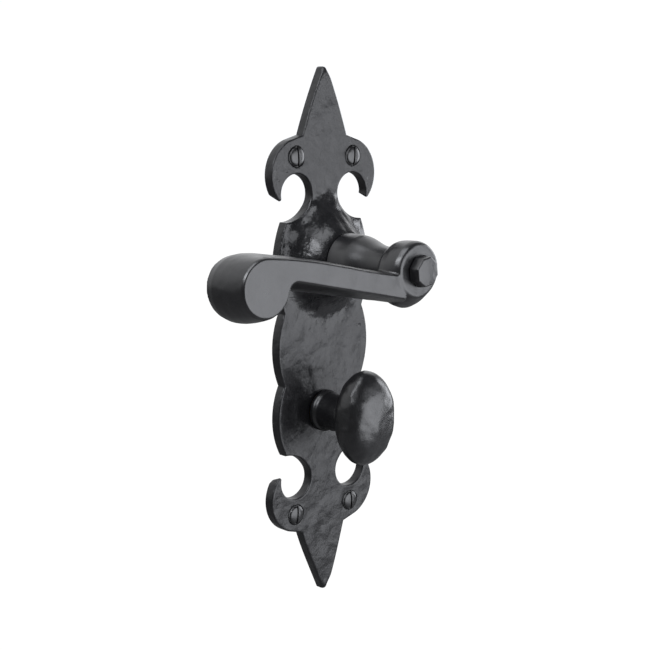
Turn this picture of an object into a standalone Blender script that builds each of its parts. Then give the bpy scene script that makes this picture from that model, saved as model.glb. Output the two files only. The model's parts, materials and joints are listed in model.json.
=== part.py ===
"""A fleur-de-lys lever handle on a bathroom backplate, with a thumb turn below the lever.

Sizes are metres. +Z is up, +Y runs into the door and the front of the handle faces -Y. The
origin is the middle of the backplate's flat back. The lever and the thumb turn each turn about
a line along Y, and their pieces are parented to an empty on that line.
"""

import math

import bmesh
import bpy
from mathutils import Matrix, Vector

# Backplate
PLATE_LENGTH = 0.1985
PLATE_THICKNESS = 0.0039
PLATE_EDGE_BEVEL = 0.0005

# The plate's outline and screws, drawn for this length. They scale with PLATE_LENGTH.
DRAWN_LENGTH = 0.1985
LOBE_HALF_WIDTH = 0.0225
PINCH_HALF_WIDTH = 0.0196
UPPER_PINCH_Z = 0.0100
LOWER_PINCH_Z = -0.0168
SPEAR_BASE_FROM_TIP = 0.0250
SPEAR_BASE_HALF_WIDTH = 0.0109
SPEAR_BULGE = 0.0006
FLUKE_CENTRE_X = 0.0126
FLUKE_CENTRE_FROM_TIP = 0.0392
FLUKE_RADIUS = 0.0132
NOTCH_CENTRE_X = 0.0138
NOTCH_CENTRE_FROM_TIP = 0.0461
NOTCH_RADIUS = 0.0073
SHOULDER_HALF_WIDTH = 0.0188
SHOULDER_FROM_TIP = 0.0561
SHOULDER_EASE = 0.0020
SCREW_X = 0.0140
SCREW_FROM_TIP = 0.0327

# The two axes, one above the other
AXIS_CENTRES = 0.0570
LEVER_AXIS_ABOVE_MIDDLE = 0.0002
LEVER_AXIS_Z = AXIS_CENTRES / 2 + LEVER_AXIS_ABOVE_MIDDLE
TURN_AXIS_Z = LEVER_AXIS_Z - AXIS_CENTRES

# Fits
SEAT_GAP = 0.0003
RUNNING_CLEARANCE = 0.00008
PRESS_CLEARANCE = 0.00005

# Fixing screws, raised countersunk with a slot
SCREW_HEAD_RADIUS = 0.0037
SCREW_HEAD_RISE = 0.0010
SCREW_SHANK_RADIUS = 0.0017
SCREW_LENGTH = 0.0127
SCREW_POINT_LENGTH = 0.0040
SCREW_SLOT_WIDTH = 0.0010
SCREW_SLOT_DEPTH = 0.0012

# Lever neck. Its tail holds the square socket and turns in the bush.
SPINDLE_SQUARE = 0.0082
SPINDLE_PAST_GRUB = 0.0069
NECK_TAIL_WALL = 0.0018
NECK_TAIL_RADIUS = SPINDLE_SQUARE / math.sqrt(2) + NECK_TAIL_WALL
NECK_TAIL_OVERHANG = 0.0010
NECK_TAIL_FLAT = NECK_TAIL_RADIUS - 0.0010
NECK_COLLAR_STEP = 0.0030
NECK_COLLAR_RADIUS = NECK_TAIL_RADIUS + NECK_COLLAR_STEP
NECK_COLLAR_LENGTH = 0.0068
NECK_WAIST_RADIUS = 0.0070
NECK_WAIST_FULLNESS = 1.5
CIRCLIP_GROOVE_DEPTH = 0.0006

# Boss behind the lever
BOSS_HEIGHT = 0.0115
BOSS_TOP_LEDGE = 0.0006
BOSS_TOP_RADIUS = NECK_COLLAR_RADIUS + BOSS_TOP_LEDGE
BOSS_SPREAD = 0.0143
BOSS_HOLLOW = 1.4
BOSS_LAND = 0.0014

# Lever
LEVER_FRONT_FROM_PLATE = 0.0471
LEVER_LENGTH = 0.0773
EYE_THICKNESS = 0.0100
EYE_RADIUS = 0.0098
EYE_BULGE_RADIUS = EYE_RADIUS + 0.0020
EYE_BACK_RADIUS = EYE_RADIUS + 0.0008
EYE_PROUD = 0.0004
EYE_DROP = 0.0017
BULB_RADIUS = 0.0095
BULB_THICKNESS = 0.0155
BULB_HOOK_RADIUS = 0.0030
ARM_TOP_AT_EYE = -0.0006
ARM_BOTTOM_AT_EYE = 0.0005 - EYE_RADIUS
ARM_HEIGHT_AT_BULB = BULB_RADIUS - 0.0010
ARM_START_SHARE = 0.6
ARM_EARLY_RISE = 0.62
TOP_FLARE = 0.0006
END_FLARE = 0.0013
EYE_BOTTOM_FLARE = 0.0042
BULB_BOTTOM_FLARE = 0.0020
EYE_PIN_RADIUS = 0.0040
EYE_PIN_DEPTH = 0.0055
EYE_PIN_HEAD_RADIUS = 0.0059
EYE_PIN_FACE_RADIUS = 0.0054
EYE_PIN_HEAD_LENGTH = 0.0038

# Bush, spring, stop plate, washer and circlip behind the lever, from the neck's tail outwards
LEVER_BUSH_WALL = 0.0013
LEVER_BUSH_RADIUS = NECK_TAIL_RADIUS + RUNNING_CLEARANCE + LEVER_BUSH_WALL
BUSH_FLANGE_THICKNESS = 0.0010
SPRING_WIRE = 0.0011
SPRING_CLEARANCE = 0.00065
SPRING_RADIUS = NECK_TAIL_RADIUS + SPRING_CLEARANCE + SPRING_WIRE / 2
SPRING_TURNS = 2
SPRING_PITCH = SPRING_WIRE + 0.0002
SPRING_HOOK_LENGTH = 0.0020
LEVER_BUSH_FLANGE_RADIUS = SPRING_RADIUS + SPRING_WIRE / 2 + 0.0001
STOP_PLATE_WALL = 0.0016
STOP_PLATE_RADIUS = NECK_TAIL_RADIUS + STOP_PLATE_WALL
STOP_PLATE_THICKNESS = 0.0018
STOP_PIN_RADIUS = 0.0012
STOP_PIN_ORBIT = LEVER_BUSH_FLANGE_RADIUS + SEAT_GAP + STOP_PIN_RADIUS
STOP_LUG_RADIUS = STOP_PIN_ORBIT + STOP_PIN_RADIUS + 0.0001
STOP_LUG_HALF_WIDTH = 0.0019
POCKET_RADIUS = STOP_LUG_RADIUS + 0.0004
WASHER_THICKNESS = 0.0006
CIRCLIP_THICKNESS = 0.0009
CIRCLIP_WIDTH = 0.0021
CIRCLIP_GAP_SHARE = 0.35
CIRCLIP_BELOW_BACK = 0.0005
LEVER_TRAVEL = math.radians(40)

# Grub screws
LEVER_GRUB_RADIUS = 0.0025
TURN_GRUB_RADIUS = 0.0020
GRUB_KEY_SHARE = 0.5
GRUB_KEY_DEPTH = 0.0022

# Thumb turn. Its tail holds the square socket and turns in the bush.
TURN_SQUARE = 0.0051
TURN_SQUARE_PAST_GRUB = 0.0059
TURN_TAIL_WALL = 0.0024
TURN_TAIL_RADIUS = TURN_SQUARE / math.sqrt(2) + TURN_TAIL_WALL
TURN_TAIL_OVERHANG = 0.0050
TURN_NECK_RADIUS = TURN_TAIL_RADIUS + 0.0010
TURN_BUSH_WALL = 0.0013
TURN_BUSH_RADIUS = TURN_TAIL_RADIUS + RUNNING_CLEARANCE + TURN_BUSH_WALL
TURN_BUSH_FLANGE_RADIUS = TURN_BUSH_RADIUS + 0.0020
TURN_COLLAR_RADIUS = TURN_BUSH_RADIUS + 0.0005
TURN_COLLAR_LENGTH = 0.0024
TURN_GRUB_FROM_COLLAR = 0.0035
TURN_KNOB_WIDTH = 0.0235
TURN_KNOB_DEPTH = 0.0166
TURN_KNOB_HEIGHT = 0.0350
TURN_KNOB_CENTRE_FROM_PLATE = 0.0216
WAVE_WASHER_THICKNESS = 0.0004
WAVE_WASHER_RISE = 0.0004
WAVE_WASHER_MARGIN = 0.0006
WAVE_COUNT = 3

# Fineness of the round shapes
ROUND_STEPS = 40
SMALL_ROUND_STEPS = 24
WIRE_STEPS_PER_TURN = 20
OVERSHOOT = 0.002

DRAWN_TIP = DRAWN_LENGTH / 2
OUTLINE_SCALE = PLATE_LENGTH / DRAWN_LENGTH
PLATE_FRONT_Y = -PLATE_THICKNESS
BOSS_TOP_Y = PLATE_FRONT_Y - BOSS_HEIGHT
LEVER_FRONT_Y = PLATE_FRONT_Y - LEVER_FRONT_FROM_PLATE
EYE_BACK_Y = LEVER_FRONT_Y + EYE_THICKNESS
NECK_COLLAR_Y = BOSS_TOP_Y - SEAT_GAP
LEVER_GRUB_Y = NECK_COLLAR_Y - NECK_COLLAR_LENGTH / 2
BULB_CENTRE_X = BULB_RADIUS - LEVER_LENGTH
BULB_CENTRE_Z = -0.0003

# The pieces in the pocket, from the plate's back to the pocket's floor
CIRCLIP_FRONT_Y = -CIRCLIP_BELOW_BACK - CIRCLIP_THICKNESS
WASHER_FRONT_Y = CIRCLIP_FRONT_Y - SEAT_GAP - WASHER_THICKNESS
STOP_PLATE_BACK_Y = WASHER_FRONT_Y - SEAT_GAP
STOP_PLATE_FRONT_Y = STOP_PLATE_BACK_Y - STOP_PLATE_THICKNESS
SPRING_START_Y = STOP_PLATE_FRONT_Y - SEAT_GAP - SPRING_WIRE / 2 - SPRING_PITCH * SPRING_TURNS
LEVER_BUSH_BACK_Y = SPRING_START_Y - SPRING_WIRE / 2 - SEAT_GAP
LEVER_BUSH_FLANGE_Y = LEVER_BUSH_BACK_Y - BUSH_FLANGE_THICKNESS
POCKET_FLOOR_Y = LEVER_BUSH_FLANGE_Y - SEAT_GAP

# The pieces behind the turn, from the plate's back outwards
WAVE_WASHER_FRONT_Y = SEAT_GAP + WAVE_WASHER_RISE
TURN_WASHER_FRONT_Y = WAVE_WASHER_FRONT_Y + WAVE_WASHER_THICKNESS + WAVE_WASHER_RISE + SEAT_GAP
TURN_CIRCLIP_FRONT_Y = TURN_WASHER_FRONT_Y + WASHER_THICKNESS + SEAT_GAP
TURN_COLLAR_Y = PLATE_FRONT_Y - SEAT_GAP
TURN_GRUB_Y = TURN_COLLAR_Y - TURN_COLLAR_LENGTH - TURN_GRUB_FROM_COLLAR


# ---- Scene, collections and materials ----


def clear_scene():
    for obj in list(bpy.data.objects):
        bpy.data.objects.remove(obj)
    for mesh in list(bpy.data.meshes):
        bpy.data.meshes.remove(mesh)


def new_collection(name, hidden=False):
    group = bpy.data.collections.new(name)
    bpy.context.scene.collection.children.link(group)
    group.hide_render = hidden
    return group


def new_material(name, colour, roughness, metallic):
    material = bpy.data.materials.new(name)
    material.use_nodes = True
    shader = material.node_tree.nodes["Principled BSDF"]
    shader.inputs["Base Color"].default_value = (*colour, 1.0)
    shader.inputs["Roughness"].default_value = roughness
    shader.inputs["Metallic"].default_value = metallic
    return material


def new_object(name, mesh, group, pivot=None):
    obj = bpy.data.objects.new(name, mesh)
    group.objects.link(obj)
    obj.parent = pivot
    return obj


def new_pivot(name, height):
    pivot = bpy.data.objects.new(name, None)
    pivot.location = (0, 0, height)
    pivot.empty_display_size = 0.02
    PARTS.objects.link(pivot)
    bpy.context.view_layer.update()
    return pivot


def finish(obj, material):
    """Give a part its material and smooth shading between its sharp edges."""
    obj.data.materials.clear()
    obj.data.materials.append(material)
    obj.data.shade_smooth()
    obj.data.set_sharp_from_angle(angle=math.radians(35))
    return obj


def hide(obj):
    obj.hide_render = True
    obj.display_type = "WIRE"
    return obj


# ---- Shapes ----


def turned(name, profile, group, pivot=None, steps=ROUND_STEPS):
    """Turn a profile of (radius, y) points about the Y axis through the object's origin.

    The profile runs from front to back down its outer side. A profile that starts and ends on
    the axis is left open, and any other one is closed into a ring.
    """
    mesh = bpy.data.meshes.new(name)
    shape = bmesh.new()
    verts = [shape.verts.new((radius, y, 0)) for radius, y in profile]
    for first, second in zip(verts, verts[1:]):
        shape.edges.new((first, second))
    if profile[0][0] > 0:
        shape.edges.new((verts[-1], verts[0]))
    shape.to_mesh(mesh)
    shape.free()
    obj = new_object(name, mesh, group, pivot)
    screw = obj.modifiers.new("turn", "SCREW")
    screw.axis = "Y"
    screw.angle = 2 * math.pi
    screw.steps = steps
    screw.render_steps = steps
    screw.use_merge_vertices = True
    screw.merge_threshold = 0.00001
    screw.use_normal_flip = True
    return obj


def outward(mesh):
    """Weld a mesh and point its faces out of the solid."""
    shape = bmesh.new()
    shape.from_mesh(mesh)
    bmesh.ops.remove_doubles(shape, verts=shape.verts, dist=0.000001)
    bmesh.ops.recalc_face_normals(shape, faces=shape.faces)
    shape.to_mesh(mesh)
    shape.free()


def extruded(name, outline, front_y, back_y, group, pivot=None):
    """Extrude a closed outline of (x, z) points from front_y to back_y."""
    curve = bpy.data.curves.new(name, "CURVE")
    curve.dimensions = "2D"
    curve.fill_mode = "BOTH"
    curve.extrude = (back_y - front_y) / 2
    spline = curve.splines.new("POLY")
    spline.points.add(len(outline) - 1)
    for point, (x, z) in zip(spline.points, outline):
        point.co = (x, z, 0, 1)
    spline.use_cyclic_u = True
    drawn = bpy.data.objects.new(name + "_outline", curve)
    group.objects.link(drawn)
    bpy.context.view_layer.update()
    graph = bpy.context.evaluated_depsgraph_get()
    mesh = bpy.data.meshes.new_from_object(drawn.evaluated_get(graph))
    bpy.data.objects.remove(drawn)
    stand_up = Matrix.Rotation(math.pi / 2, 4, "X")
    mesh.transform(Matrix.Translation((0, (front_y + back_y) / 2, 0)) @ stand_up)
    outward(mesh)
    return new_object(name, mesh, group, pivot)


def bevel_front_rim(obj, front_y, width):
    """Bevel the edges that lie round the front face of an extruded piece."""
    shape = bmesh.new()
    shape.from_mesh(obj.data)
    on_front = [v for v in shape.verts if abs(v.co.y - front_y) < 0.00001]
    rim = {e for v in on_front for e in v.link_edges if e.calc_face_angle(0) > 0.5}
    rim = [e for e in rim if abs(e.verts[0].co.y - e.verts[1].co.y) < 0.00001]
    bmesh.ops.bevel(shape, geom=rim, offset=width, offset_type="OFFSET", segments=1, profile=0.5,
                    affect="EDGES", material=-1)
    shape.to_mesh(obj.data)
    shape.free()


def box(name, low, high, group, pivot=None):
    mesh = bpy.data.meshes.new(name)
    shape = bmesh.new()
    bmesh.ops.create_cube(shape, size=1)
    size = Vector(high) - Vector(low)
    middle = (Vector(high) + Vector(low)) / 2
    bmesh.ops.scale(shape, vec=size, verts=shape.verts)
    bmesh.ops.translate(shape, vec=middle, verts=shape.verts)
    shape.to_mesh(mesh)
    shape.free()
    return new_object(name, mesh, group, pivot)


def rod(name, radius, start, end, group, pivot=None, steps=SMALL_ROUND_STEPS, end_radius=None):
    """A straight round rod between two points, or a cone when end_radius is given."""
    start, end = Vector(start), Vector(end)
    mesh = bpy.data.meshes.new(name)
    shape = bmesh.new()
    bmesh.ops.create_cone(shape, cap_ends=True, segments=steps, radius1=radius,
                          radius2=radius if end_radius is None else end_radius,
                          depth=(end - start).length)
    turn = (end - start).to_track_quat("Z", "Y").to_matrix().to_4x4()
    bmesh.ops.transform(shape, matrix=Matrix.Translation((start + end) / 2) @ turn,
                        verts=shape.verts)
    shape.to_mesh(mesh)
    shape.free()
    return new_object(name, mesh, group, pivot)


def combine(obj, other, operation):
    """Add a Boolean to a part. The other shape stays in the scene as a hidden guide."""
    boolean = obj.modifiers.new(other.name, "BOOLEAN")
    boolean.operation = operation
    boolean.object = hide(other)
    boolean.solver = "EXACT"
    return obj


def arc(start, middle, end, steps):
    """Points along the circle through three (x, z) points, without the first point."""
    (ax, az), (bx, bz), (cx, cz) = start, middle, end
    d = 2 * (ax * (bz - cz) + bx * (cz - az) + cx * (az - bz))
    a2 = ax * ax + az * az
    b2 = bx * bx + bz * bz
    c2 = cx * cx + cz * cz
    centre_x = (a2 * (bz - cz) + b2 * (cz - az) + c2 * (az - bz)) / d
    centre_z = (a2 * (cx - bx) + b2 * (ax - cx) + c2 * (bx - ax)) / d
    radius = math.hypot(ax - centre_x, az - centre_z)
    first = math.atan2(az - centre_z, ax - centre_x)
    past = (math.atan2(bz - centre_z, bx - centre_x) - first) % (2 * math.pi)
    sweep = (math.atan2(cz - centre_z, cx - centre_x) - first) % (2 * math.pi)
    if past > sweep:
        sweep -= 2 * math.pi
    angles = [first + sweep * i / steps for i in range(1, steps + 1)]
    return [(centre_x + radius * math.cos(a), centre_z + radius * math.sin(a)) for a in angles]


def around(centre, radius, start_degrees, end_degrees, steps):
    """Points round a circle from one angle to another, both included."""
    points = []
    for i in range(steps + 1):
        angle = math.radians(start_degrees + (end_degrees - start_degrees) * i / steps)
        points.append((centre[0] + radius * math.cos(angle), centre[1] + radius * math.sin(angle)))
    return points


def outline_normals(points):
    """The direction out of a clockwise outline at each of its points."""
    normals = []
    for i, (x, z) in enumerate(points):
        before = Vector((x, z)) - Vector(points[i - 1])
        after = Vector(points[(i + 1) % len(points)]) - Vector((x, z))
        along = before.normalized() + after.normalized()
        normals.append(Vector((-along.y, along.x)).normalized())
    return normals


# ---- Backplate ----


def fleur_half():
    """The right half of the upper fleur-de-lys, from its tip down to the shoulder."""
    tip = (0.0, DRAWN_TIP)
    spear_base = (SPEAR_BASE_HALF_WIDTH, DRAWN_TIP - SPEAR_BASE_FROM_TIP)
    spear_middle = (spear_base[0] / 2 + SPEAR_BULGE, (tip[1] + spear_base[1]) / 2 + SPEAR_BULGE)
    fluke_centre = (FLUKE_CENTRE_X, DRAWN_TIP - FLUKE_CENTRE_FROM_TIP)
    notch_centre = (NOTCH_CENTRE_X, DRAWN_TIP - NOTCH_CENTRE_FROM_TIP)
    shoulder = (SHOULDER_HALF_WIDTH, DRAWN_TIP - SHOULDER_FROM_TIP)
    points = [tip]
    points += arc(tip, spear_middle, spear_base, 5)
    points += around(fluke_centre, FLUKE_RADIUS, 70, -44, 14)
    points += around(notch_centre, NOTCH_RADIUS, -8, 222, 18)
    eased = (notch_centre[0] - SHOULDER_EASE, shoulder[1] + SHOULDER_EASE)
    points += arc(points[-1], eased, shoulder, 5)
    return points


def plate_outline():
    """The whole outline of the backplate, clockwise from the upper tip."""
    upper = fleur_half()
    lower = [(x, -z) for x, z in reversed(upper)]
    upper_pinch = (PINCH_HALF_WIDTH, UPPER_PINCH_Z)
    lower_pinch = (PINCH_HALF_WIDTH, LOWER_PINCH_Z)
    middle_z = (UPPER_PINCH_Z + LOWER_PINCH_Z) / 2
    right = list(upper)
    right += arc(upper[-1], (LOBE_HALF_WIDTH, (upper[-1][1] + UPPER_PINCH_Z) / 2), upper_pinch, 9)
    right += arc(upper_pinch, (LOBE_HALF_WIDTH, middle_z), lower_pinch, 8)
    right += arc(lower_pinch, (LOBE_HALF_WIDTH, (lower[0][1] + LOWER_PINCH_Z) / 2), lower[0], 9)
    right += lower[1:]
    left = [(-x, z) for x, z in reversed(right[1:-1])]
    return [(x * OUTLINE_SCALE, z * OUTLINE_SCALE) for x, z in right + left]


def inset(points, distance):
    normals = outline_normals(points)
    return [(x - n.x * distance, z - n.y * distance) for (x, z), n in zip(points, normals)]


def boss_profile():
    """The boss from its flat top to its foot: steep below the top, hollow towards the foot."""
    profile = [(0, BOSS_TOP_Y), (BOSS_TOP_RADIUS, BOSS_TOP_Y)]
    steps = 9
    for i in range(1, steps + 1):
        share = i / steps
        radius = BOSS_TOP_RADIUS + BOSS_SPREAD * share
        height = BOSS_HEIGHT * (1 - share) ** BOSS_HOLLOW
        profile.append((radius, PLATE_FRONT_Y - height))
    buried_y = PLATE_FRONT_Y / 2
    profile += [(BOSS_TOP_RADIUS + BOSS_SPREAD, buried_y), (0, buried_y)]
    return profile


def screw_head_cone(radius, back_y):
    """A cutter for a ninety degree countersink and the clearance hole behind it."""
    hole = SCREW_SHANK_RADIUS + SEAT_GAP
    mouth = radius + SEAT_GAP
    seat_y = PLATE_FRONT_Y + mouth - hole
    return [(0, PLATE_FRONT_Y - OVERSHOOT), (mouth, PLATE_FRONT_Y - OVERSHOOT),
            (mouth, PLATE_FRONT_Y), (hole, seat_y), (hole, back_y), (0, back_y)]


def screw_places():
    x = SCREW_X * OUTLINE_SCALE
    z = (DRAWN_TIP - SCREW_FROM_TIP) * OUTLINE_SCALE
    return {"top_left": (-x, z), "top_right": (x, z),
            "bottom_left": (-x, -z), "bottom_right": (x, -z)}


def stop_pin_places():
    """Where the two stop pins stand, as angles about the lever's axis from +Z towards +X."""
    lug_half_angle = math.asin((STOP_LUG_HALF_WIDTH + STOP_PIN_RADIUS + SEAT_GAP) / STOP_PIN_ORBIT)
    return {"stop_pin_rest": lug_half_angle, "stop_pin_down": -LEVER_TRAVEL - lug_half_angle}


def make_backplate():
    outline = plate_outline()
    plate = extruded("backplate", outline, PLATE_FRONT_Y, 0, PARTS)
    bevel_front_rim(plate, PLATE_FRONT_Y, PLATE_EDGE_BEVEL)
    boss = turned("boss_blank", boss_profile(), CUTTERS)
    boss.location.z = LEVER_AXIS_Z
    trim = extruded("boss_trim", inset(outline, BOSS_LAND), BOSS_TOP_Y - OVERSHOOT,
                    PLATE_FRONT_Y / 4, CUTTERS)
    combine(boss, trim, "INTERSECT")
    combine(plate, boss, "UNION")

    lever_bore = LEVER_BUSH_RADIUS + PRESS_CLEARANCE
    front_y = BOSS_TOP_Y - OVERSHOOT
    bore = turned("lever_bore_cutter", [
        (0, front_y), (lever_bore, front_y), (lever_bore, POCKET_FLOOR_Y),
        (POCKET_RADIUS, POCKET_FLOOR_Y), (POCKET_RADIUS, OVERSHOOT), (0, OVERSHOOT)], PLATE_CUTTERS)
    bore.location.z = LEVER_AXIS_Z

    turn_bore = TURN_BUSH_RADIUS + PRESS_CLEARANCE
    recess = TURN_BUSH_FLANGE_RADIUS + PRESS_CLEARANCE
    recess_y = -BUSH_FLANGE_THICKNESS - SEAT_GAP
    front_y = PLATE_FRONT_Y - OVERSHOOT
    bore = turned("turn_bore_cutter", [
        (0, front_y), (turn_bore, front_y), (turn_bore, recess_y), (recess, recess_y),
        (recess, OVERSHOOT), (0, OVERSHOOT)], PLATE_CUTTERS)
    bore.location.z = TURN_AXIS_Z

    for place, (x, z) in screw_places().items():
        sink = turned("countersink_" + place, screw_head_cone(SCREW_HEAD_RADIUS, OVERSHOOT),
                      PLATE_CUTTERS, steps=SMALL_ROUND_STEPS)
        sink.location = (x, 0, z)
    for cutter in PLATE_CUTTERS.objects:
        hide(cutter)
    holes = plate.modifiers.new("holes", "BOOLEAN")
    holes.operation = "DIFFERENCE"
    holes.operand_type = "COLLECTION"
    holes.collection = PLATE_CUTTERS
    return finish(plate, IRON)


def make_screws():
    """Four slotted raised countersunk wood screws, one in each fluke."""
    cone_length = SCREW_HEAD_RADIUS - SCREW_SHANK_RADIUS
    tip_y = PLATE_FRONT_Y + SCREW_LENGTH
    dome = []
    dome_steps = 4
    for i in range(dome_steps + 1):
        angle = math.pi / 2 * i / dome_steps
        dome.append((SCREW_HEAD_RADIUS * math.sin(angle),
                     PLATE_FRONT_Y - SCREW_HEAD_RISE * math.cos(angle)))
    profile = dome + [(SCREW_SHANK_RADIUS, PLATE_FRONT_Y + cone_length),
                      (SCREW_SHANK_RADIUS, tip_y - SCREW_POINT_LENGTH), (0, tip_y)]
    slot_floor_y = PLATE_FRONT_Y - SCREW_HEAD_RISE + SCREW_SLOT_DEPTH
    for place, (x, z) in screw_places().items():
        screw = turned("screw_" + place, profile, PARTS, steps=SMALL_ROUND_STEPS)
        screw.location = (x, 0, z)
        reach = SCREW_HEAD_RADIUS + OVERSHOOT
        half = SCREW_SLOT_WIDTH / 2
        slot = box("slot_" + place, (-half, PLATE_FRONT_Y - OVERSHOOT, -reach),
                   (half, slot_floor_y, reach), CUTTERS)
        slot.location = (x, 0, z)
        combine(screw, slot, "DIFFERENCE")
        finish(screw, BLACK_STEEL)


# ---- Pieces behind the lever ----


def flanged_bush(name, inner, outer, front_y, flange_y, flange_radius, height):
    """A flanged bush. Its flange stands behind flange_y."""
    back_y = flange_y + BUSH_FLANGE_THICKNESS
    bush = turned(name, [(inner, front_y), (outer, front_y), (outer, flange_y),
                         (flange_radius, flange_y), (flange_radius, back_y), (inner, back_y)],
                  PARTS)
    bush.location.z = height
    return finish(bush, BRASS)


def make_stop_pins():
    for name, angle in stop_pin_places().items():
        x = STOP_PIN_ORBIT * math.sin(angle)
        z = LEVER_AXIS_Z + STOP_PIN_ORBIT * math.cos(angle)
        start_y = POCKET_FLOOR_Y + SEAT_GAP
        pin = rod(name, STOP_PIN_RADIUS, (x, start_y, z), (x, STOP_PLATE_BACK_Y, z), PARTS,
                  steps=16)
        finish(pin, STEEL)


def spring_sweep():
    """The angle where the wire starts, and how far it winds round the axis.

    The first leg bears on the lower stop pin and the last one on the stop plate's lug, and
    pressing the lever winds the coil tighter.
    """
    beside_pin = math.asin((STOP_PIN_RADIUS + SPRING_WIRE / 2 + SEAT_GAP) / STOP_PIN_ORBIT)
    beside_lug = math.asin((STOP_LUG_HALF_WIDTH + SPRING_WIRE / 2 + SEAT_GAP) / STOP_PIN_ORBIT)
    start = stop_pin_places()["stop_pin_down"] + beside_pin
    return start, -beside_lug - start - 2 * math.pi * SPRING_TURNS


def spring_points():
    """The route of the torsion spring's wire: an outer leg, the coil, and a hooked second leg."""
    start, sweep = spring_sweep()
    count = int(WIRE_STEPS_PER_TURN * SPRING_TURNS)
    coil = []
    for i in range(count + 1):
        share = i / count
        angle = start + sweep * share
        along_y = SPRING_START_Y + SPRING_PITCH * abs(sweep) / (2 * math.pi) * share
        coil.append(Vector((SPRING_RADIUS * math.sin(angle), along_y,
                            SPRING_RADIUS * math.cos(angle))))
    out = STOP_PIN_ORBIT / SPRING_RADIUS
    first = Vector((coil[0].x * out, coil[0].y, coil[0].z * out))
    last = Vector((coil[-1].x * out, coil[-1].y, coil[-1].z * out))
    hook = last + Vector((0, SPRING_HOOK_LENGTH, 0))
    return [first] + coil + [last, hook]


def make_spring():
    curve = bpy.data.curves.new("return_spring", "CURVE")
    curve.dimensions = "3D"
    curve.bevel_depth = SPRING_WIRE / 2
    curve.bevel_resolution = 2
    curve.use_fill_caps = True
    points = spring_points()
    spline = curve.splines.new("POLY")
    spline.points.add(len(points) - 1)
    for target, point in zip(spline.points, points):
        target.co = (*point, 1)
    drawn = bpy.data.objects.new("return_spring_route", curve)
    PARTS.objects.link(drawn)
    bpy.context.view_layer.update()
    graph = bpy.context.evaluated_depsgraph_get()
    mesh = bpy.data.meshes.new_from_object(drawn.evaluated_get(graph))
    bpy.data.objects.remove(drawn)
    outward(mesh)
    spring = new_object("return_spring", mesh, PARTS)
    spring.location.z = LEVER_AXIS_Z
    return finish(spring, STEEL)


def make_stop_plate(pivot):
    """A ring keyed on the two flats of the neck's tail, with the lug that meets the stops."""
    plate = turned("stop_plate", [(0, STOP_PLATE_FRONT_Y), (STOP_PLATE_RADIUS, STOP_PLATE_FRONT_Y),
                                  (STOP_PLATE_RADIUS, STOP_PLATE_BACK_Y), (0, STOP_PLATE_BACK_Y)],
                   PARTS, pivot)
    trim = 0.0001
    lug = box("stop_lug",
              (-STOP_LUG_HALF_WIDTH, STOP_PLATE_FRONT_Y + trim, NECK_TAIL_RADIUS + trim),
              (STOP_LUG_HALF_WIDTH, STOP_PLATE_BACK_Y - trim, STOP_LUG_RADIUS), CUTTERS, pivot)
    combine(plate, lug, "UNION")
    combine(plate, tail_form("stop_plate_key", PRESS_CLEARANCE, STOP_PLATE_FRONT_Y - OVERSHOOT,
                             STOP_PLATE_BACK_Y + OVERSHOOT, pivot), "DIFFERENCE")
    return finish(plate, STEEL)


def tail_form(name, clearance, front_y, back_y, pivot):
    """The neck's tail as a solid: a round bar with two flats, grown by the clearance."""
    radius = NECK_TAIL_RADIUS + clearance
    flat = NECK_TAIL_FLAT + clearance
    edge = math.degrees(math.acos(flat / radius))
    steps = 14
    outline = around((0, 0), radius, 180 - edge, edge, steps)
    outline += around((0, 0), radius, -edge, edge - 180, steps)
    return extruded(name, outline, front_y, back_y, CUTTERS, pivot)


def ring(name, inner, outer, front_y, thickness, group, pivot, steps=ROUND_STEPS):
    back_y = front_y + thickness
    return turned(name, [(inner, front_y), (outer, front_y), (outer, back_y), (inner, back_y)],
                  group, pivot, steps)


def make_circlip(name, groove_radius, front_y, pivot):
    """An external circlip: a ring with a gap at its foot."""
    inner = groove_radius + PRESS_CLEARANCE
    clip = ring(name, inner, inner + CIRCLIP_WIDTH, front_y, CIRCLIP_THICKNESS, PARTS, pivot)
    gap_half = groove_radius * CIRCLIP_GAP_SHARE
    gap = box(name + "_gap", (-gap_half, front_y - OVERSHOOT, -groove_radius * 2),
              (gap_half, front_y + CIRCLIP_THICKNESS + OVERSHOOT, 0), CUTTERS, pivot)
    combine(clip, gap, "DIFFERENCE")
    return finish(clip, STEEL)


# ---- Lever ----


def square_socket(name, across, front_y, back_y, pivot):
    half = across / 2
    return box(name, (-half, front_y, -half), (half, back_y, half), CUTTERS, pivot)


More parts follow.
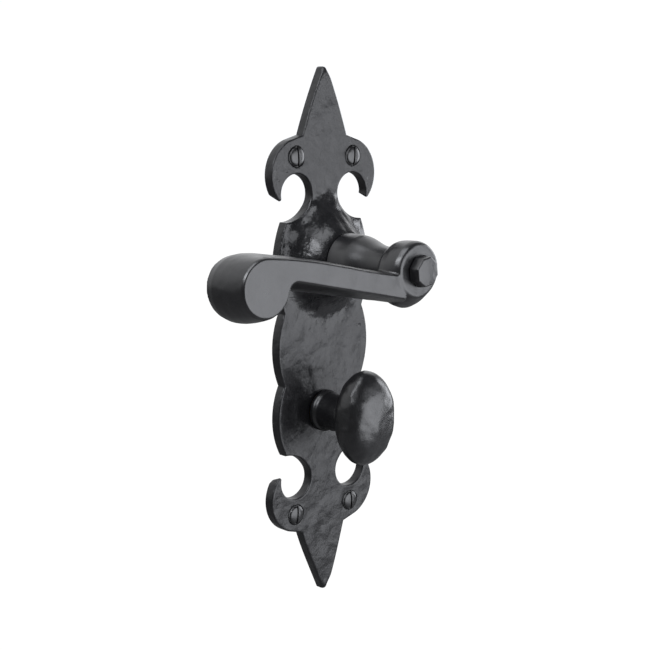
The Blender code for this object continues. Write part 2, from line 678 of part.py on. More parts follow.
def make_neck(pivot):
    """The turned neck: tail through the bush, collar on the boss, and a waist up to the lever."""
    waist_start_y = NECK_COLLAR_Y - NECK_COLLAR_LENGTH
    front_y = EYE_BACK_Y + SEAT_GAP
    groove_radius = NECK_TAIL_RADIUS - CIRCLIP_GROOVE_DEPTH
    profile = [(0, front_y)]
    steps = 7
    for i in range(steps + 1):
        share = i / steps
        bend = (1 - math.cos(math.pi * share ** NECK_WAIST_FULLNESS)) / 2
        radius = NECK_WAIST_RADIUS + (NECK_COLLAR_RADIUS - NECK_WAIST_RADIUS) * bend
        profile.append((radius, front_y + (waist_start_y - front_y) * share))
    profile += [(NECK_COLLAR_RADIUS, NECK_COLLAR_Y), (NECK_TAIL_RADIUS, NECK_COLLAR_Y),
                (NECK_TAIL_RADIUS, CIRCLIP_FRONT_Y - PRESS_CLEARANCE),
                (groove_radius, CIRCLIP_FRONT_Y - PRESS_CLEARANCE),
                (groove_radius, CIRCLIP_FRONT_Y + CIRCLIP_THICKNESS + PRESS_CLEARANCE),
                (NECK_TAIL_RADIUS, CIRCLIP_FRONT_Y + CIRCLIP_THICKNESS + PRESS_CLEARANCE),
                (NECK_TAIL_RADIUS, NECK_TAIL_OVERHANG), (0, NECK_TAIL_OVERHANG)]
    neck = turned("lever_neck", profile, PARTS, pivot)
    reach = NECK_TAIL_RADIUS + OVERSHOOT
    for side in (-1, 1):
        low_x, high_x = sorted((side * NECK_TAIL_FLAT, side * reach))
        flat = box(f"tail_flat_{side}", (low_x, STOP_PLATE_FRONT_Y - SEAT_GAP, -reach),
                   (high_x, NECK_TAIL_OVERHANG + OVERSHOOT, reach), CUTTERS, pivot)
        combine(neck, flat, "DIFFERENCE")
    combine(neck, square_socket("spindle_socket", SPINDLE_SQUARE, LEVER_GRUB_Y - SPINDLE_PAST_GRUB,
                                NECK_TAIL_OVERHANG + OVERSHOOT, pivot), "DIFFERENCE")
    pin_hole = EYE_PIN_RADIUS + PRESS_CLEARANCE
    combine(neck, rod("neck_pin_hole", pin_hole, (0, front_y - OVERSHOOT, 0),
                      (0, front_y + EYE_PIN_DEPTH + SEAT_GAP, 0), CUTTERS, pivot), "DIFFERENCE")
    grub_hole = LEVER_GRUB_RADIUS + PRESS_CLEARANCE
    combine(neck, rod("lever_grub_hole", grub_hole,
                      (0, LEVER_GRUB_Y, -NECK_COLLAR_RADIUS - OVERSHOOT),
                      (0, LEVER_GRUB_Y, 0), CUTTERS, pivot), "DIFFERENCE")
    return finish(neck, IRON)


def arm_top(x):
    """Height of the arm's top edge above the lever's axis: a flat S from the eye to the bulb."""
    share = min(1.0, max(0.0, (x + EYE_RADIUS) / (BULB_CENTRE_X + EYE_RADIUS)))
    rise = BULB_CENTRE_Z + BULB_RADIUS - ARM_TOP_AT_EYE
    early = math.sin(share * math.pi / 2) ** 1.3
    steady = share ** 1.1
    return ARM_TOP_AT_EYE + rise * (ARM_EARLY_RISE * early + (1 - ARM_EARLY_RISE) * steady)


def lever_outline():
    """The lever's front outline without its eye, clockwise from the top of the eye's side."""
    hook_x = BULB_CENTRE_X + BULB_RADIUS + BULB_HOOK_RADIUS
    hook_z = BULB_CENTRE_Z + BULB_RADIUS - ARM_HEIGHT_AT_BULB - BULB_HOOK_RADIUS
    top_steps = 12
    start_x = -EYE_RADIUS * ARM_START_SHARE
    top = []
    for i in range(top_steps):
        x = BULB_CENTRE_X + (start_x - BULB_CENTRE_X) * i / top_steps
        top.append((x, arm_top(x)))
    top.append((start_x, arm_top(start_x)))
    bottom = [(start_x, ARM_BOTTOM_AT_EYE)]
    hook = around((hook_x, hook_z), BULB_HOOK_RADIUS, 80, 165, 6)
    bulb_steps = 18
    start = math.degrees(math.atan2(hook[-1][1] - BULB_CENTRE_Z, hook[-1][0] - BULB_CENTRE_X)) - 6
    bulb = around((BULB_CENTRE_X, BULB_CENTRE_Z), BULB_RADIUS, start, -260, bulb_steps)
    return top + bottom + hook + bulb


def flare_at(x, normal):
    """How far the lever's back stands outside its front at one point of the outline."""
    share = min(1.0, max(0.0, x / BULB_CENTRE_X))
    below = EYE_BOTTOM_FLARE + (BULB_BOTTOM_FLARE - EYE_BOTTOM_FLARE) * share
    up = max(0.0, normal.y)
    down = max(0.0, -normal.y)
    left = max(0.0, -normal.x) * share
    return TOP_FLARE * up ** 2 + below * down ** 2 + END_FLARE * left ** 2


def back_y_at(x):
    """The lever's back slopes from the eye, so that the bulb is thicker than the eye."""
    share = max(0.0, (x + EYE_BACK_RADIUS) / (BULB_CENTRE_X + EYE_BACK_RADIUS))
    return EYE_BACK_Y + (BULB_THICKNESS - EYE_THICKNESS) * share


def lofted(name, rings, group, pivot):
    """Join rings that have the same number of points, and cap both ends."""
    mesh = bpy.data.meshes.new(name)
    shape = bmesh.new()
    loops = [[shape.verts.new(point) for point in points] for points in rings]
    for near, far in zip(loops, loops[1:]):
        for i in range(len(near)):
            j = (i + 1) % len(near)
            shape.faces.new((near[i], near[j], far[j], far[i]))
    shape.faces.new(loops[0])
    shape.faces.new(reversed(loops[-1]))
    bmesh.ops.triangulate(shape, faces=[f for f in shape.faces if len(f.verts) > 4])
    bmesh.ops.recalc_face_normals(shape, faces=shape.faces)
    shape.to_mesh(mesh)
    shape.free()
    return new_object(name, mesh, group, pivot)


def make_lever_arm(pivot):
    """The flat-faced arm with a scrolled bulb at its end, flaring towards its back, and its eye."""
    front = lever_outline()
    normals = outline_normals(front)
    rings = []
    for depth, flared in ((0.0, 0.0), (0.5, 0.75), (1.0, 1.0)):
        points = []
        for (x, z), normal in zip(front, normals):
            grow = flare_at(x, normal) * flared
            px, pz = x + normal.x * grow, z + normal.y * grow
            points.append((px, LEVER_FRONT_Y + (back_y_at(px) - LEVER_FRONT_Y) * depth, pz))
        rings.append(points)
    arm = lofted("lever_arm", rings, PARTS, pivot)

    eye_front_y = LEVER_FRONT_Y - EYE_PROUD
    eye_rings = []
    shoulder_radius = EYE_RADIUS * 0.35 + EYE_BULGE_RADIUS * 0.65
    for share, radius, drop in ((0, EYE_RADIUS, 0), (0.25, shoulder_radius, EYE_DROP / 2),
                                (0.6, EYE_BULGE_RADIUS, EYE_DROP), (1, EYE_BACK_RADIUS, EYE_DROP)):
        y = eye_front_y + (EYE_BACK_Y - eye_front_y) * share
        circle = around((0, -drop), radius, 0, 360, ROUND_STEPS)[:-1]
        eye_rings.append([(x, y, z) for x, z in circle])
    combine(arm, lofted("eye_blank", eye_rings, CUTTERS, pivot), "UNION")
    hole = EYE_PIN_RADIUS + PRESS_CLEARANCE
    combine(arm, rod("eye_hole", hole, (0, eye_front_y - OVERSHOOT, 0),
                     (0, EYE_BACK_Y + OVERSHOOT, 0), CUTTERS, pivot), "DIFFERENCE")
    return finish(arm, IRON)


def make_eye_pin(pivot):
    """The pin that clamps the lever to its neck. Its head is a hammered octagon."""
    face_y = LEVER_FRONT_Y - EYE_PROUD - SEAT_GAP
    pin = rod("eye_pin", EYE_PIN_HEAD_RADIUS, (0, face_y, 0), (0, face_y - EYE_PIN_HEAD_LENGTH, 0),
              PARTS, pivot, steps=8, end_radius=EYE_PIN_FACE_RADIUS)
    end_y = EYE_BACK_Y + SEAT_GAP + EYE_PIN_DEPTH
    shank = rod("eye_pin_shank", EYE_PIN_RADIUS, (0, face_y - EYE_PIN_HEAD_LENGTH / 2, 0),
                (0, end_y, 0), CUTTERS, pivot)
    combine(pin, shank, "UNION")
    return finish(pin, IRON)


def make_grub_screw(name, radius, y, inner, outer, pivot):
    """A headless screw standing below the axis, from the flat that it grips to its own mouth."""
    grub = rod(name, radius, (0, y, -outer), (0, y, -inner), PARTS, pivot, steps=24)
    key = rod(name + "_key", radius * GRUB_KEY_SHARE, (0, y, -outer - OVERSHOOT),
              (0, y, -outer + GRUB_KEY_DEPTH), CUTTERS, pivot, steps=6)
    combine(grub, key, "DIFFERENCE")
    return finish(grub, BLACK_STEEL)


def make_lever():
    pivot = new_pivot("lever_pivot", LEVER_AXIS_Z)
    make_neck(pivot)
    make_lever_arm(pivot)
    make_eye_pin(pivot)
    make_stop_plate(pivot)
    washer = ring("lever_washer", NECK_TAIL_RADIUS + RUNNING_CLEARANCE, STOP_PLATE_RADIUS,
                  WASHER_FRONT_Y, WASHER_THICKNESS, PARTS, pivot)
    finish(washer, STEEL)
    make_circlip("lever_circlip", NECK_TAIL_RADIUS - CIRCLIP_GROOVE_DEPTH, CIRCLIP_FRONT_Y, pivot)
    make_grub_screw("lever_grub_screw", LEVER_GRUB_RADIUS, LEVER_GRUB_Y,
                    SPINDLE_SQUARE / 2 + SEAT_GAP, NECK_COLLAR_RADIUS - SEAT_GAP, pivot)


# ---- Thumb turn ----


def make_turn_knob(pivot):
    """An oval knob on a round neck, with a collar on the plate and a tail through it."""
    collar_front_y = TURN_COLLAR_Y - TURN_COLLAR_LENGTH
    knob_y = PLATE_FRONT_Y - TURN_KNOB_CENTRE_FROM_PLATE
    groove_radius = TURN_TAIL_RADIUS - CIRCLIP_GROOVE_DEPTH
    groove_front_y = TURN_CIRCLIP_FRONT_Y - PRESS_CLEARANCE
    groove_back_y = TURN_CIRCLIP_FRONT_Y + CIRCLIP_THICKNESS + PRESS_CLEARANCE
    knob = turned("turn_knob", [
        (0, knob_y), (TURN_NECK_RADIUS, knob_y), (TURN_NECK_RADIUS, collar_front_y),
        (TURN_COLLAR_RADIUS, collar_front_y + PLATE_EDGE_BEVEL), (TURN_COLLAR_RADIUS, TURN_COLLAR_Y),
        (TURN_TAIL_RADIUS, TURN_COLLAR_Y), (TURN_TAIL_RADIUS, groove_front_y),
        (groove_radius, groove_front_y), (groove_radius, groove_back_y),
        (TURN_TAIL_RADIUS, groove_back_y), (TURN_TAIL_RADIUS, TURN_TAIL_OVERHANG),
        (0, TURN_TAIL_OVERHANG)], PARTS, pivot)

    mesh = bpy.data.meshes.new("knob_head")
    shape = bmesh.new()
    bmesh.ops.create_uvsphere(shape, u_segments=28, v_segments=14, radius=1)
    half = (TURN_KNOB_WIDTH / 2, TURN_KNOB_DEPTH / 2, TURN_KNOB_HEIGHT / 2)
    bmesh.ops.scale(shape, vec=half, verts=shape.verts)
    bmesh.ops.translate(shape, vec=(0, knob_y, 0), verts=shape.verts)
    shape.to_mesh(mesh)
    shape.free()
    combine(knob, new_object("knob_head", mesh, CUTTERS, pivot), "UNION")
    combine(knob, square_socket("turn_socket", TURN_SQUARE, TURN_GRUB_Y - TURN_SQUARE_PAST_GRUB,
                                TURN_TAIL_OVERHANG + OVERSHOOT, pivot), "DIFFERENCE")
    hole = TURN_GRUB_RADIUS + PRESS_CLEARANCE
    combine(knob, rod("turn_grub_hole", hole, (0, TURN_GRUB_Y, -TURN_COLLAR_RADIUS - OVERSHOOT),
                      (0, TURN_GRUB_Y, 0), CUTTERS, pivot), "DIFFERENCE")
    return finish(knob, IRON)


def make_wave_washer(pivot):
    """A thin ring pressed into waves, which holds the turn where it is left."""
    inner = TURN_TAIL_RADIUS + RUNNING_CLEARANCE
    outer = TURN_BUSH_FLANGE_RADIUS - WAVE_WASHER_MARGIN
    washer = ring("turn_wave_washer", inner, outer, WAVE_WASHER_FRONT_Y, WAVE_WASHER_THICKNESS,
                  PARTS, pivot)
    graph = bpy.context.evaluated_depsgraph_get()
    washer.data = bpy.data.meshes.new_from_object(washer.evaluated_get(graph))
    washer.modifiers.clear()
    for vertex in washer.data.vertices:
        angle = math.atan2(vertex.co.z, vertex.co.x)
        vertex.co.y += WAVE_WASHER_RISE * math.cos(WAVE_COUNT * angle)
    outward(washer.data)
    return finish(washer, STEEL)


def make_turn():
    pivot = new_pivot("turn_pivot", TURN_AXIS_Z)
    make_turn_knob(pivot)
    make_wave_washer(pivot)
    washer = ring("turn_washer", TURN_TAIL_RADIUS + RUNNING_CLEARANCE, TURN_BUSH_FLANGE_RADIUS,
                  TURN_WASHER_FRONT_Y, WASHER_THICKNESS, PARTS, pivot)
    finish(washer, STEEL)
    make_circlip("turn_circlip", TURN_TAIL_RADIUS - CIRCLIP_GROOVE_DEPTH, TURN_CIRCLIP_FRONT_Y, pivot)
    make_grub_screw("turn_grub_screw", TURN_GRUB_RADIUS, TURN_GRUB_Y,
                    TURN_SQUARE / 2 + SEAT_GAP, TURN_NECK_RADIUS - SEAT_GAP, pivot)


# ---- The build ----

clear_scene()
PARTS = new_collection("door_lever_handle")
CUTTERS = new_collection("cutters", hidden=True)
PLATE_CUTTERS = new_collection("backplate_holes", hidden=True)
IRON = new_material("black_iron", (0.012, 0.012, 0.014), 0.42, 0.0)
BLACK_STEEL = new_material("black_steel", (0.015, 0.015, 0.017), 0.40, 0.2)
STEEL = new_material("bright_steel", (0.55, 0.56, 0.57), 0.35, 1.0)
BRASS = new_material("bush_brass", (0.62, 0.47, 0.22), 0.38, 1.0)

make_backplate()
make_screws()
flanged_bush("lever_bush", NECK_TAIL_RADIUS + RUNNING_CLEARANCE, LEVER_BUSH_RADIUS,
             BOSS_TOP_Y + SEAT_GAP, LEVER_BUSH_FLANGE_Y, LEVER_BUSH_FLANGE_RADIUS, LEVER_AXIS_Z)
flanged_bush("turn_bush", TURN_TAIL_RADIUS + RUNNING_CLEARANCE, TURN_BUSH_RADIUS,
             PLATE_FRONT_Y + SEAT_GAP, -BUSH_FLANGE_THICKNESS, TURN_BUSH_FLANGE_RADIUS, TURN_AXIS_Z)
make_stop_pins()
make_spring()
make_lever()
make_turn()
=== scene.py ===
# %% [markdown]
# # A black iron lever handle on a fleur-de-lys backplate
# The CAD model gives every piece its true place and size. This script keeps those solids as the
# fixed frame, swaps the ironwork and the screws for finer shapes, and paints everything with
# procedural finishes. All lengths are metres, +Z is up and the front of the handle faces -Y.

# %% Load the frame
import json
import math

import bmesh
import bpy
from mathutils import Matrix, Vector, kdtree, noise


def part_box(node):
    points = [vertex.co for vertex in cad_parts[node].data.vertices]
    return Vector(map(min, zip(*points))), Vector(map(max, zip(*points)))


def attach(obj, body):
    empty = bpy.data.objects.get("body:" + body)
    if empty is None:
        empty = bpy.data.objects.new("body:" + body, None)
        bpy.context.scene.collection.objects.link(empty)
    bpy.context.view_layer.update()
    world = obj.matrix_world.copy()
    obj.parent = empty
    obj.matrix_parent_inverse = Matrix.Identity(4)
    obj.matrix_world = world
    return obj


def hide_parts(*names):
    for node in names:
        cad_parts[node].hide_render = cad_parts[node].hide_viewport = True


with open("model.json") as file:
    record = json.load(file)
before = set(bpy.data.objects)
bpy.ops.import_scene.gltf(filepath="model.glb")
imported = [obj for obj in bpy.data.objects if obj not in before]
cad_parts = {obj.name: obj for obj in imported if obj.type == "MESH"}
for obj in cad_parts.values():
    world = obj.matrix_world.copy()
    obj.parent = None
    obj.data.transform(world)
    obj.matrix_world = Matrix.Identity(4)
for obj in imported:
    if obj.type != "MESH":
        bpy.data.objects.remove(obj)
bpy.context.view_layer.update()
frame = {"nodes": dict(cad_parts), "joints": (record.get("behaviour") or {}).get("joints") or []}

# %% [markdown]
# The two axes come from the frame's joints: the lever turns about the upper one and the thumb
# turn about the lower one. They, the plate's upper tip and its flat front are the places that
# the rest of the handle is laid out from.

# %% The two axes and the plate's front
JOINTS = {joint["name"]: joint for joint in frame["joints"]}
LEVER_AXIS = Vector(JOINTS["lever_turn"]["pos_m"])
TURN_AXIS = Vector(JOINTS["turn_lock"]["pos_m"])
PLATE_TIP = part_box("backplate")[1].z
PLATE_FRONT = -0.0039
print("axes at z", LEVER_AXIS.z, TURN_AXIS.z, "plate tip", round(PLATE_TIP, 4))

# %% [markdown]
# A material is a graph of nodes, and sums in such a graph take one Math node each. Wrapping a
# socket in a small class with operators lets the sums be written as ordinary Python.

# %% A number that flows through a material
class Signal:
    """One output socket. Adding, multiplying and the rest make Math nodes."""

    def __init__(self, tree, socket):
        self.tree = tree
        self.socket = socket

    def calculate(self, operation, first, second):
        node = self.tree.nodes.new("ShaderNodeMath")
        node.operation = operation
        for slot, item in zip(node.inputs, (first, second)):
            if isinstance(item, Signal):
                self.tree.links.new(item.socket, slot)
            else:
                slot.default_value = item
        return Signal(self.tree, node.outputs[0])

    def __add__(self, other):
        return self.calculate("ADD", self, other)

    def __radd__(self, other):
        return self.calculate("ADD", other, self)

    def __sub__(self, other):
        return self.calculate("SUBTRACT", self, other)

    def __rsub__(self, other):
        return self.calculate("SUBTRACT", other, self)

    def __mul__(self, other):
        return self.calculate("MULTIPLY", self, other)

    def __rmul__(self, other):
        return self.calculate("MULTIPLY", other, self)


# %% [markdown]
# Every finish starts from the same Principled shader. The class below keeps the graph tidy: one
# method makes any node, sets its options first and then fills its sockets with values or links.

# %% A finish
class Finish:
    """A material under construction, read in object space."""

    def __init__(self, name, **constants):
        self.material = bpy.data.materials.new(name)
        self.material.use_nodes = True
        self.tree = self.material.node_tree
        self.shader = self.tree.nodes["Principled BSDF"]
        for socket, value in constants.items():
            self.shader.inputs[socket.replace("_", " ")].default_value = value
        self.place = self.node("ShaderNodeTexCoord").outputs["Object"]

    def node(self, kind, settings=None, **sockets):
        made = self.tree.nodes.new(kind)
        for setting, value in (settings or {}).items():
            setattr(made, setting, value)
        for socket, value in sockets.items():
            self.fill(made.inputs[socket.replace("_", " ")], value)
        return made

    def fill(self, slot, value):
        if isinstance(value, Signal):
            value = value.socket
        if isinstance(value, bpy.types.NodeSocket):
            self.tree.links.new(value, slot)
        else:
            slot.default_value = value

    def signal(self, socket):
        return Signal(self.tree, socket)

    def noise(self, scale, detail=2.0, roughness=0.5):
        made = self.node("ShaderNodeTexNoise", Vector=self.place, Scale=scale, Detail=detail,
                         Roughness=roughness)
        return self.signal(made.outputs["Fac"])

    def cells(self, scale, feature="SMOOTH_F1"):
        made = self.node("ShaderNodeTexVoronoi", {"feature": feature}, Vector=self.place,
                         Scale=scale)
        return self.signal(made.outputs["Distance"])

    def distance(self, place):
        """How far each point of the surface is from a place."""
        made = self.node("ShaderNodeVectorMath", {"operation": "DISTANCE"})
        for slot, item in zip(made.inputs, (self.place, place)):
            self.fill(slot, item)
        return self.signal(made.outputs["Value"])

    def between(self, value, low, high):
        """0 below low, 1 above high, and a smooth rise from one to the other."""
        made = self.node("ShaderNodeMapRange", {"interpolation_type": "SMOOTHSTEP"})
        for slot, item in zip(made.inputs, (value, low, high)):
            self.fill(slot, item)
        return self.signal(made.outputs["Result"])

    def blend(self, factor, first, second):
        """A mix of two colours. The node keeps its colour sockets behind those for numbers."""
        made = self.node("ShaderNodeMix", {"data_type": "RGBA"})
        for slot, item in zip((made.inputs[0], made.inputs[6], made.inputs[7]),
                              (factor, first, second)):
            self.fill(slot, item)
        return made.outputs[2]

    def bump(self, height, distance, strength=1.0):
        made = self.node("ShaderNodeBump", Height=height, Distance=distance, Strength=strength)
        self.fill(self.shader.inputs["Normal"], made.outputs["Normal"])

    def paint(self, **sockets):
        for socket, value in sockets.items():
            self.fill(self.shader.inputs[socket.replace("_", " ")], value)
        print("finish", self.material.name, len(self.tree.nodes), "nodes")
        return self.material


# %% [markdown]
# The ironwork is cast, dressed with a hammer and powder coated satin black. The coat follows
# every lump below it, so the finish needs three sizes of relief: slow hollows left by the
# hammer, small pits of the casting sand, and the fine orange peel of the powder itself. The
# plate is the roughest, the lever and the knob are dressed nearly smooth. A bump does this
# relief, because it is far too fine to be worth real faces.

# %% Black iron
RELIEF_DEPTH = 0.0006
COAT_BLACK = (0.0066, 0.0066, 0.0074, 1)
COAT_DUSTY = (0.0120, 0.0119, 0.0128, 1)
BELL_FOOT = (LEVER_AXIS.x, PLATE_FRONT, LEVER_AXIS.z)
GLOSSY_TO = 0.021
SATIN_FROM = 0.031


def black_iron(name, relief, roughness, pits, gloss=1.55, polish=0.0):
    """Satin black powder coat over iron. relief is the depth of the hammer's hollows, and
    polish makes it glossier on the bell round the lever's axis."""
    finish = Finish(name, IOR=gloss)
    hollows = finish.cells(240.0) * 0.8 + finish.noise(150.0, 3.0)
    waves = finish.noise(560.0, 3.0, 0.55)
    peel = finish.noise(2600.0, 1.0)
    sand = finish.between(finish.cells(420.0, "F1"), 0.05, 0.30)
    scarce = finish.between(finish.noise(70.0, 1.0), 0.60, 0.72)
    pit = (1.0 - sand) * scarce * pits
    height = hollows * relief + waves * (0.45 * relief) + peel * 0.02 - pit
    finish.bump(height, RELIEF_DEPTH)
    dust = finish.between(finish.noise(210.0, 4.0, 0.6), 0.45, 0.75)
    colour = finish.blend(dust, COAT_BLACK, COAT_DUSTY)
    glossy = 1.0 - finish.between(finish.distance(BELL_FOOT), GLOSSY_TO, SATIN_FROM)
    shine = finish.noise(140.0, 3.0) * 0.14 + pit * 0.2 + (roughness - 0.07) - glossy * polish
    return finish.paint(Base_Color=colour, Roughness=shine)


PLATE_IRON = black_iron("black iron, hammered", 0.62, 0.36, 0.3, 1.43, 0.09)
LEVER_IRON = black_iron("black iron, dressed", 0.04, 0.30, 0.0)
KNOB_IRON = black_iron("black iron, forged", 0.30, 0.31, 0.1)

# %% [markdown]
# The screws are steel with a thinner black coat that has worn a little where a driver turned in
# the slot. Bright pieces behind the plate are zinc plated, and the bushes are brass. Turned
# metal shows fine rings round its axis, so each set has its pattern centred on its own axis.

# %% Black steel, plated steel and brass
def black_steel(name):
    finish = Finish(name, IOR=1.55)
    worn = finish.between(finish.noise(900.0, 5.0, 0.65), 0.58, 0.78)
    colour = finish.blend(worn, (0.006, 0.006, 0.0065, 1), (0.03, 0.029, 0.027, 1))
    finish.bump(finish.noise(1500.0, 3.0), 0.00005, 0.6)
    return finish.paint(Base_Color=colour, Roughness=0.30 + worn * 0.14, Metallic=worn * 0.5)


def turned_metal(name, light, dull, centre, roughness):
    finish = Finish(name, Metallic=1.0)
    centred = finish.node("ShaderNodeMapping", Vector=finish.place,
                          Location=(0, 0, -centre.z)).outputs["Vector"]
    rings = finish.node("ShaderNodeTexWave", {"wave_type": "RINGS", "rings_direction": "Y"},
                        Vector=centred, Scale=700.0, Distortion=1.5, Detail=2.0)
    rings = finish.signal(rings.outputs["Fac"])
    stain = finish.between(finish.noise(260.0, 5.0, 0.6), 0.42, 0.72)
    colour = finish.blend(stain, (*light, 1), (*dull, 1))
    finish.bump(rings * 0.6 + finish.noise(1200.0, 2.0) * 0.5, 0.00003, 0.7)
    gloss = stain * 0.18 + rings * 0.05 + roughness
    return finish.paint(Base_Color=colour, Roughness=gloss)


SCREW_STEEL = black_steel("black steel")
ZINC = ((0.60, 0.61, 0.60), (0.42, 0.42, 0.40))
BRASS = ((0.66, 0.50, 0.24), (0.40, 0.28, 0.12))
CAD_FINISHES = {
    "lever_bush": turned_metal("brass on the lever axis", *BRASS, LEVER_AXIS, 0.28),
    "turn_bush": turned_metal("brass on the turn axis", *BRASS, TURN_AXIS, 0.28),
}
LEVER_ZINC = turned_metal("zinc on the lever axis", *ZINC, LEVER_AXIS, 0.26)
TURN_ZINC = turned_metal("zinc on the turn axis", *ZINC, TURN_AXIS, 0.26)
for node in ("return_spring", "stop_pin_rest", "stop_pin_down", "stop_plate", "lever_washer",
             "lever_circlip"):
    CAD_FINISHES[node] = LEVER_ZINC
for node in ("turn_wave_washer", "turn_washer", "turn_circlip"):
    CAD_FINISHES[node] = TURN_ZINC
for node in ("lever_grub_screw", "turn_grub_screw"):
    CAD_FINISHES[node] = SCREW_STEEL
for node, material in CAD_FINISHES.items():
    for slot in frame["nodes"][node].material_slots:
        slot.material = material
print("repainted", len(CAD_FINISHES), "CAD nodes")

# %% [markdown]
# Shapes start as bmeshes. These helpers turn one into an object and add or cut others. A Boolean
# can leave hair-thin faces where two shapes nearly touch, so each cut ends with a weld.

# %% Helpers for objects and cuts
WELD = 0.000005


def piece(name, shape):
    """An object at the origin from a bmesh, with its faces pointing outwards."""
    bmesh.ops.recalc_face_normals(shape, faces=shape.faces)
    mesh = bpy.data.meshes.new(name)
    shape.to_mesh(mesh)
    shape.free()
    obj = bpy.data.objects.new(name, mesh)
    bpy.context.scene.collection.objects.link(obj)
    return obj


def settle(obj):
    """Make an object's modifiers part of its mesh."""
    graph = bpy.context.evaluated_depsgraph_get()
    mesh = bpy.data.meshes.new_from_object(obj.evaluated_get(graph))
    obj.modifiers.clear()
    obj.data = mesh
    return obj


def combine(obj, operation, *others):
    """Add or cut other shapes, which are then deleted."""
    for other in others:
        boolean = obj.modifiers.new(other.name, "BOOLEAN")
        boolean.operation = operation
        boolean.object = other
        boolean.solver = "EXACT"
        settle(obj)
        bpy.data.objects.remove(other)
    shape = bmesh.new()
    shape.from_mesh(obj.data)
    bmesh.ops.remove_doubles(shape, verts=shape.verts, dist=WELD)
    bmesh.ops.dissolve_degenerate(shape, edges=shape.edges, dist=WELD)
    bmesh.ops.recalc_face_normals(shape, faces=shape.faces)
    shape.to_mesh(obj.data)
    shape.free()
    return obj


def gather(name, *parts):
    """Put overlapping closed shapes in one mesh, ready for a skin that makes them one."""
    shape = bmesh.new()
    for part in parts:
        shape.from_mesh(part.data)
        bpy.data.objects.remove(part)
    return piece(name, shape)


# %% [markdown]
# Round pieces are turned on a lathe and round holes are drilled. A profile of a few points spun
# round a line is the same work in Blender. A box is enough for square sockets and slots.

# %% Helpers for turned shapes and boxes
def turned(name, profile, axis, steps=96):
    """A closed shape from (radius, y) points that start and end on a line along Y."""
    shape = bmesh.new()
    line = [shape.verts.new((axis.x + radius, y, axis.z)) for radius, y in profile]
    for first, second in zip(line, line[1:]):
        shape.edges.new((first, second))
    bmesh.ops.spin(shape, geom=shape.verts[:] + shape.edges[:], cent=axis, axis=(0, 1, 0),
                   angle=math.tau, steps=steps, use_merge=True)
    bmesh.ops.remove_doubles(shape, verts=shape.verts, dist=WELD)
    return piece(name, shape)


def block(name, low, high):
    """A box between two corners."""
    shape = bmesh.new()
    bmesh.ops.create_cube(shape, size=1)
    low, high = Vector(low), Vector(high)
    bmesh.ops.scale(shape, vec=high - low, verts=shape.verts)
    bmesh.ops.translate(shape, vec=(low + high) / 2, verts=shape.verts)
    return piece(name, shape)


# %% [markdown]
# A casting has no sharp edges. A voxel remesh draws one even skin of small squares over a shape,
# a few rounds of smoothing soften its edges, and noise along the normals leaves the uneven
# marks of the hammer. Bevels would need clean edges, and these joined shapes have none.

# %% Helpers for castings
def cast_skin(obj, voxel, rounds):
    """Remesh a closed shape evenly and soften its edges."""
    remesh = obj.modifiers.new("skin", "REMESH")
    remesh.mode = "VOXEL"
    remesh.voxel_size = voxel
    settle(obj)
    shape = bmesh.new()
    shape.from_mesh(obj.data)
    for _ in range(rounds):
        bmesh.ops.smooth_vert(shape, verts=shape.verts, factor=0.5, use_axis_x=True,
                              use_axis_y=True, use_axis_z=True)
    shape.to_mesh(obj.data)
    shape.free()
    return obj


def hammer(obj, depth, size, seed, where=None):
    """Push each vertex in or out along its normal by smooth noise."""
    shape = bmesh.new()
    shape.from_mesh(obj.data)
    shape.normal_update()
    shift = Vector((seed, seed * 2.0, seed * 3.0))
    for vert in shape.verts:
        amount = noise.noise(vert.co / size + shift) * depth
        if where:
            amount *= where(vert.co)
        vert.co += vert.normal * amount
    shape.to_mesh(obj.data)
    shape.free()


# %% [markdown]
# Each finished piece gets its finish and the body that it moves with, and the CAD nodes that it
# stands for are hidden. Faces are shaded smooth, except across edges sharper than an angle.

# %% Helper for finished pieces
def dress(obj, material, body, slot, *nodes, sharp):
    """Give a finished piece its look and its body, and hide the CAD nodes that it stands for."""
    obj.data.materials.clear()
    obj.data.materials.append(material)
    obj.data.shade_smooth()
    obj.data.set_sharp_from_angle(angle=math.radians(sharp))
    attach(obj, body)
    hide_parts(*nodes)
    print(obj.name, len(obj.data.vertices), "vertices")


# %% [markdown]
# The plate's outline is drawn with circles, as a smith's pattern is. Each half of a fleur-de-lys
# is a spear with a blunt tip, a round fluke, and a round notch that leaves a narrow stem. Two
# helpers give the points of an arc, and a third fades a value in or out without a crease.

# %% Arcs and fades
def around(centre, radius, start, end, steps):
    """Points round a circle from one angle to another, in degrees."""
    angles = [math.radians(start + (end - start) * i / steps) for i in range(steps + 1)]
    return [(centre[0] + radius * math.cos(a), centre[1] + radius * math.sin(a)) for a in angles]


def arc(start, middle, end, steps):
    """Points on the circle through three points, without the first one."""
    # The usual formula for the centre of the circle through a triangle's corners.
    (ax, az), (bx, bz), (cx, cz) = start, middle, end
    d = 2 * (ax * (bz - cz) + bx * (cz - az) + cx * (az - bz))
    a2, b2, c2 = ax * ax + az * az, bx * bx + bz * bz, cx * cx + cz * cz
    centre = ((a2 * (bz - cz) + b2 * (cz - az) + c2 * (az - bz)) / d,
              (a2 * (cx - bx) + b2 * (ax - cx) + c2 * (bx - ax)) / d)
    radius = math.hypot(ax - centre[0], az - centre[1])
    first = math.degrees(math.atan2(az - centre[1], ax - centre[0]))
    past = (math.degrees(math.atan2(bz - centre[1], bx - centre[0])) - first) % 360
    sweep = (math.degrees(math.atan2(cz - centre[1], cx - centre[0])) - first) % 360
    if past > sweep:
        sweep -= 360
    return around(centre, radius, first, first + sweep, steps)[1:]


def smoothstep(low, high, value):
    """0 at low, 1 at high, and a smooth rise from one to the other. low may be the larger."""
    share = min(1.0, max(0.0, (value - low) / (high - low)))
    return share * share * (3 - 2 * share)


